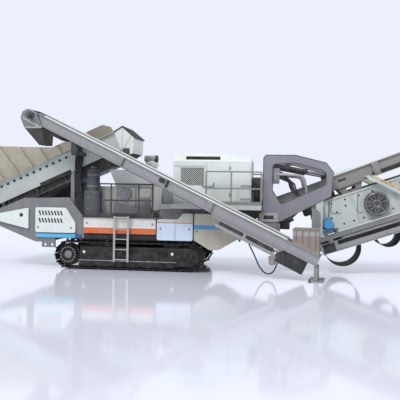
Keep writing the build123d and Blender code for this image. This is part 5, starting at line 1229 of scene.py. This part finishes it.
# %% Return conveyor drive
BELLY = -0.297
drive_box = [block((0.82, -0.28, -0.43), (1.34, 0.28, BELLY), 0.02, RETURN)]
drive_box += [block((along, -0.30, -0.40), (along + 0.06, 0.30, BELLY), 0.006, RETURN)
              for along in (0.86, 1.24)]
settle(drive_box, "return_drive_box", "black")
SHAFT = RETURN @ at(0.13, 0, -0.15)
bearing = [block((0.03, -0.448, -0.25), (0.24, -0.418, -0.05), 0.012, RETURN),
           rod((0, -0.44, 0), (0, -0.52, 0), 0.085, 32, 0.075, frame=SHAFT),
           rod((0, -0.51, 0), (0, -0.64, 0), 0.062, 28, frame=SHAFT)]
bearing += copies(bolt(0.016, 0.014), [RETURN @ at(along, -0.446, up) @ NEAR_FACE
                                       for along in (0.055, 0.215) for up in (-0.225, -0.075)])
settle(bearing, "return_head_bearing", "dark")

# %% [markdown]
# Black bars stand for shade, painted shade: behind the slots of the return conveyor's truss and along the
# lower edges of its sides, where two small rubber blocks also sit on each web, and along the lower half of
# the main conveyor's channel on its outer run. All are thin bars in the slope of their own conveyor.

# %% Painted shade along the conveyors
# Black bars behind the truss slots: painted shade.
liners = [block((6.76, side - 0.005, -0.585), (8.42, side + 0.005, BELLY), 0.002, RETURN)
          for side in (-0.324, 0.324)]
settle(liners, "return_truss_painted_shade", "black")
# Black strips along the lower edges of the return conveyor: painted shade.
edges = []
for sign in BOTH_SIDES:
    edge, web = sign * 0.352, sign * 0.378
    edges += [block((1.40, edge - 0.014, -0.322), (6.40, edge + 0.014, BELLY), 0.004, RETURN),
              block((4.86, web - 0.026, -0.24), (4.92, web + 0.026, -0.02), 0.006, RETURN),
              block((4.62, web - 0.022, -0.17), (4.80, web + 0.022, -0.06), 0.012, RETURN)]
settle(edges, "return_edge_painted_shade", "rubber")
# A black strip on the lower half of the main conveyor's channel: painted shade.
dust_strip = block((6.80, -0.590, -0.405), (9.70, -0.556, -0.275), 0.006, MAIN)
settle(mirrored([dust_strip]), "main_conveyor_painted_shade", "rubber")

# %% [markdown]
# A silencer drum lies across the top of the exhaust stack, with a dark end ring. It is two turned drums on
# one axis, strapped to the stack's cap.

# %% Exhaust silencer
stack_low, stack_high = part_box("exhaust_stack")
print("exhaust stack", stack_low, stack_high)
DRUM = at((stack_low.x + stack_high.x) / 2, (stack_low.y + stack_high.y) / 2, stack_high.z + 0.06)
drum = [rod((-0.24, 0, 0), (0.14, 0, 0), 0.115, 32, bevel=0.02, frame=DRUM)]
drum += [block((x - 0.02, -0.06, -0.17), (x + 0.02, 0.06, 0), 0.008, DRUM) for x in (-0.10, 0.06)]
settle(drum, "exhaust_silencer", "light_grey")
end_ring = rod((0.12, 0, 0), (0.22, 0, 0), 0.122, 32, bevel=0.01, frame=DRUM)
settle([end_ring], "exhaust_silencer_ring", "black")

# %% [markdown]
# Under the main conveyor, behind the boom's foot, sit the black parts that lift it: a valve bank bolted to
# the base beam, two support cylinders and a cross box on the conveyor's belly. They are bars and rods set
# in the conveyor's slope, so that they touch it.

# %% Conveyor belly supports
base_low, base_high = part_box("boom_base_beam")
print("boom base beam", base_low, base_high)
BASE = at(base_high.x, mid_y, base_low.z)
MAIN_BELLY = -0.418
bank = [block((-0.02, -0.50, 0.02), (0.30, 0.50, 0.24), 0.02, BASE),
        block((4.05, -0.55, -0.60), (4.85, 0.55, MAIN_BELLY), 0.02, MAIN),
        block((4.45, -0.50, -0.88), (4.95, 0.50, -0.590), 0.03, MAIN),
        block((4.80, -0.45, -0.70), (5.55, 0.45, MAIN_BELLY), 0.03, MAIN)]
bank += [rod((x, -0.42, 0.23), (x, -0.42, 0.33), 0.03, 16, frame=BASE) for x in (0.06, 0.15, 0.24)]
cylinder_top = BASE.inverted() @ MAIN @ Vector((4.45, 0, -0.59))
for side in (-0.36, 0.36):
    cylinder_foot = (0.15, side, 0.22)
    bank += [rod(cylinder_foot, (cylinder_top.x, side, cylinder_top.z + 0.02), 0.06, 24, frame=BASE),
             rod(cylinder_foot, (0.40, side, 0.36), 0.075, 24, frame=BASE)]
settle(bank, "conveyor_belly_supports", "black")

# %% [markdown]
# The flywheels on the screen's shaft are rough castings, and the faces of their rim, ribs and hub are lit
# bright; bright steel parts on them stand for that light, painted highlights. Each rib's bright face is a
# thin strip set on the casting, modelled once and turned round the shaft, and it spins with it. The edges
# of rim and hub are round beads, painted highlights too.

# %% Flywheel painted highlights
RIB_COUNT = 12
HUB_RADIUS, RIM_RADIUS = 0.100, 0.318
WHEEL = SCREEN @ at(1.914, 0, 0.451)
wheel_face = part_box("exciter_rotor")[0].y - mid_y
rib_highlight = block((0.105, wheel_face - 0.003, -0.0075), (0.300, wheel_face + 0.004, 0.0075), 0.002)
faces = copies(rib_highlight, [WHEEL @ turned(360 * i / RIB_COUNT) for i in range(RIB_COUNT)])
for radius in (HUB_RADIUS, RIM_RADIUS):
    loop = [(x, wheel_face + 0.004, z) for x, z in circle_spots(48, radius)]
    faces.append(placed(pipe(loop, 0.010, closed=True), WHEEL))
# Bright steel strips and beads: painted highlights on the flywheels.
settle(mirrored(faces), "flywheel_painted_highlights", "steel", "exciter")

# %% [markdown]
# The gaps of the chassis are closed by plain plates: a grey riser under the engine deck and a grey strip
# under the nose, as on the real machine, and over the tracks a black plate that stands for the shade in the
# gap there, painted shade. They are flat sheet, so a bar or a cut plate is enough.

# %% Closing plates
CHASSIS_FACE, CHASSIS_BACK = -0.800, -0.786
SHADE_PLATE_START, SHADE_PLATE_TOP = -5.12, 1.06
riser = cut_plate([(-2.37, 1.50), (-1.60, 1.50), (-1.60, 1.93), (-2.37, 1.93)], CHASSIS_FACE, 0.014)
settle(mirrored([riser]), "chassis_risers", "chassis")
# A black plate over the tracks: painted shade in the chassis gap.
skirt = block((SHADE_PLATE_START, CHASSIS_FACE, 0.897), (-0.80, CHASSIS_BACK, SHADE_PLATE_TOP), 0.003)
settle(mirrored([skirt]), "track_gap_painted_shade", "black")
nose_strip = block((-5.62, CHASSIS_FACE, 0.93), (SHADE_PLATE_START, CHASSIS_BACK, SHADE_PLATE_TOP), 0.003)
settle(mirrored([nose_strip]), "nose_gap_strips", "chassis")

# %% [markdown]
# Along the top of the product conveyor's channel there is shade, and a dark strip stands for it; a slot in
# the neck of the main conveyor is in shade, and a black lining stands for that: both are painted shade. The
# product conveyor also has a bearing at its tail. They are laid out in the conveyors' own frames.

# %% Painted shade strips and tail bearings
# A dark strip along the channel top: painted shade.
seal = block((0.55, -0.678, -0.145), (6.10, -0.637, -0.018), 0.006, PRODUCT)
settle(mirrored([seal]), "product_painted_shade_strips", "rubber")
tail_bearing = [block((0.06, -0.672, -0.30), (0.44, -0.637, -0.03), 0.012, PRODUCT),
                rod((0.24, -0.665, -0.165), (0.24, -0.745, -0.165), 0.105, 32, 0.09, frame=PRODUCT)]
settle(mirrored(tail_bearing), "product_tail_bearings", "rotor")
# A black lining in the neck slot: painted shade.
neck_slot = block((5.76, -0.567, -0.225), (6.00, -0.558, -0.150), 0.004, MAIN)
settle(mirrored([neck_slot]), "conveyor_neck_painted_shade", "black")

# %% [markdown]
# The head chute is folded from plate: its cheeks have a welded edge bead, a flange with bolts at the throat
# and a flat stiffener across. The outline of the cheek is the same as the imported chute's, in the chute's
# own plane.

# %% Chute trim
CHEEK = [(-0.059, -0.008), (0.215, -0.120), (0.415, -0.552), (-0.152, -0.552), (-0.272, -0.280),
         (-0.217, -0.084)]
STIFFENER = HEAD @ at(0.06, 0, -0.40) @ turned(27)
trim = []
for side in (-0.421, 0.421):
    trim += [placed(pipe([(u, side, v) for u, v in CHEEK], BEAD_RADIUS, False, True), HEAD),
             block((-0.16, side - 0.012, -0.585), (0.425, side + 0.012, -0.535), 0.005, HEAD),
             block((-0.30, side - 0.010, -0.028), (0.30, side + 0.010, 0.028), 0.005, STIFFENER)]
trim += copies(bolt(0.014, 0.012), [HEAD @ at(-0.12 + 0.1 * i, -0.431, -0.56) @ NEAR_FACE for i in range(6)])
settle(trim, "return_chute_trim", "light_grey")

# %% [markdown]
# The photograph has a pale, faintly mirroring floor that runs into a pale background, and soft light from
# all round. A wide floor with a low roughness gives the mirror image. The world is the background colour to
# the camera and in reflections, and a softer light to everything else.

# %% Floor, world and lamps
BACKGROUND = "#ecf0fd"
FLOOR_REACH = 260.0
bpy.ops.mesh.primitive_plane_add(size=FLOOR_REACH, location=(0, 0, 0))
floor = bpy.context.object
floor.name = "floor"
floor_material, tree, shader, place = new_material("polished_floor")
mottle = add_node(tree, "ShaderNodeTexNoise", {"Vector": place, "Scale": 0.5, "Detail": 3.0})
floor_colour = add_node(tree, "ShaderNodeMix", {
    "Factor": mottle.outputs["Fac"], "A": linear("#eef1fc"), "B": linear("#f4f6fe")}, data_type="RGBA")
tree.links.new(floor_colour.outputs["Result"], shader.inputs["Base Color"])
shader.inputs["Roughness"].default_value = 0.08
shader.inputs["IOR"].default_value = 1.45
floor.data.materials.append(floor_material)

world = bpy.data.worlds.new("studio")
bpy.context.scene.world = world
world.use_nodes = True
tree = world.node_tree
tree.nodes.clear()
rays = add_node(tree, "ShaderNodeLightPath")
seen = add_node(tree, "ShaderNodeMath", {0: rays.outputs["Is Camera Ray"], 1: rays.outputs["Is Glossy Ray"]},
                operation="MAXIMUM")
seen = add_node(tree, "ShaderNodeMath", {0: seen.outputs[0], 1: rays.outputs["Is Transmission Ray"]},
                operation="MAXIMUM")
backdrop = add_node(tree, "ShaderNodeBackground", {"Color": linear(BACKGROUND), "Strength": 1.0})
ambient = add_node(tree, "ShaderNodeBackground", {"Color": linear("#eef2ff"), "Strength": 0.62})
mixed = add_node(tree, "ShaderNodeMixShader", {
    0: seen.outputs[0], 1: ambient.outputs[0], 2: backdrop.outputs[0]})
add_node(tree, "ShaderNodeOutputWorld", {"Surface": mixed.outputs[0]})


def add_sun(name, strength, elevation, azimuth, softness):
    """A distant lamp: azimuth 0 shines from the photographed side, positive from the right."""
    bpy.ops.object.light_add(type="SUN")
    lamp = bpy.context.object
    lamp.name = name
    lamp.data.energy = strength
    lamp.data.angle = math.radians(softness)
    lamp.rotation_euler = (math.radians(90 - elevation), 0, math.radians(azimuth))
    return lamp


add_sun("key_light", 1.7, 48, -28, 20)
add_sun("fill_light", 0.5, 35, 50, 40)

bpy.context.scene.view_settings.view_transform = "Standard"
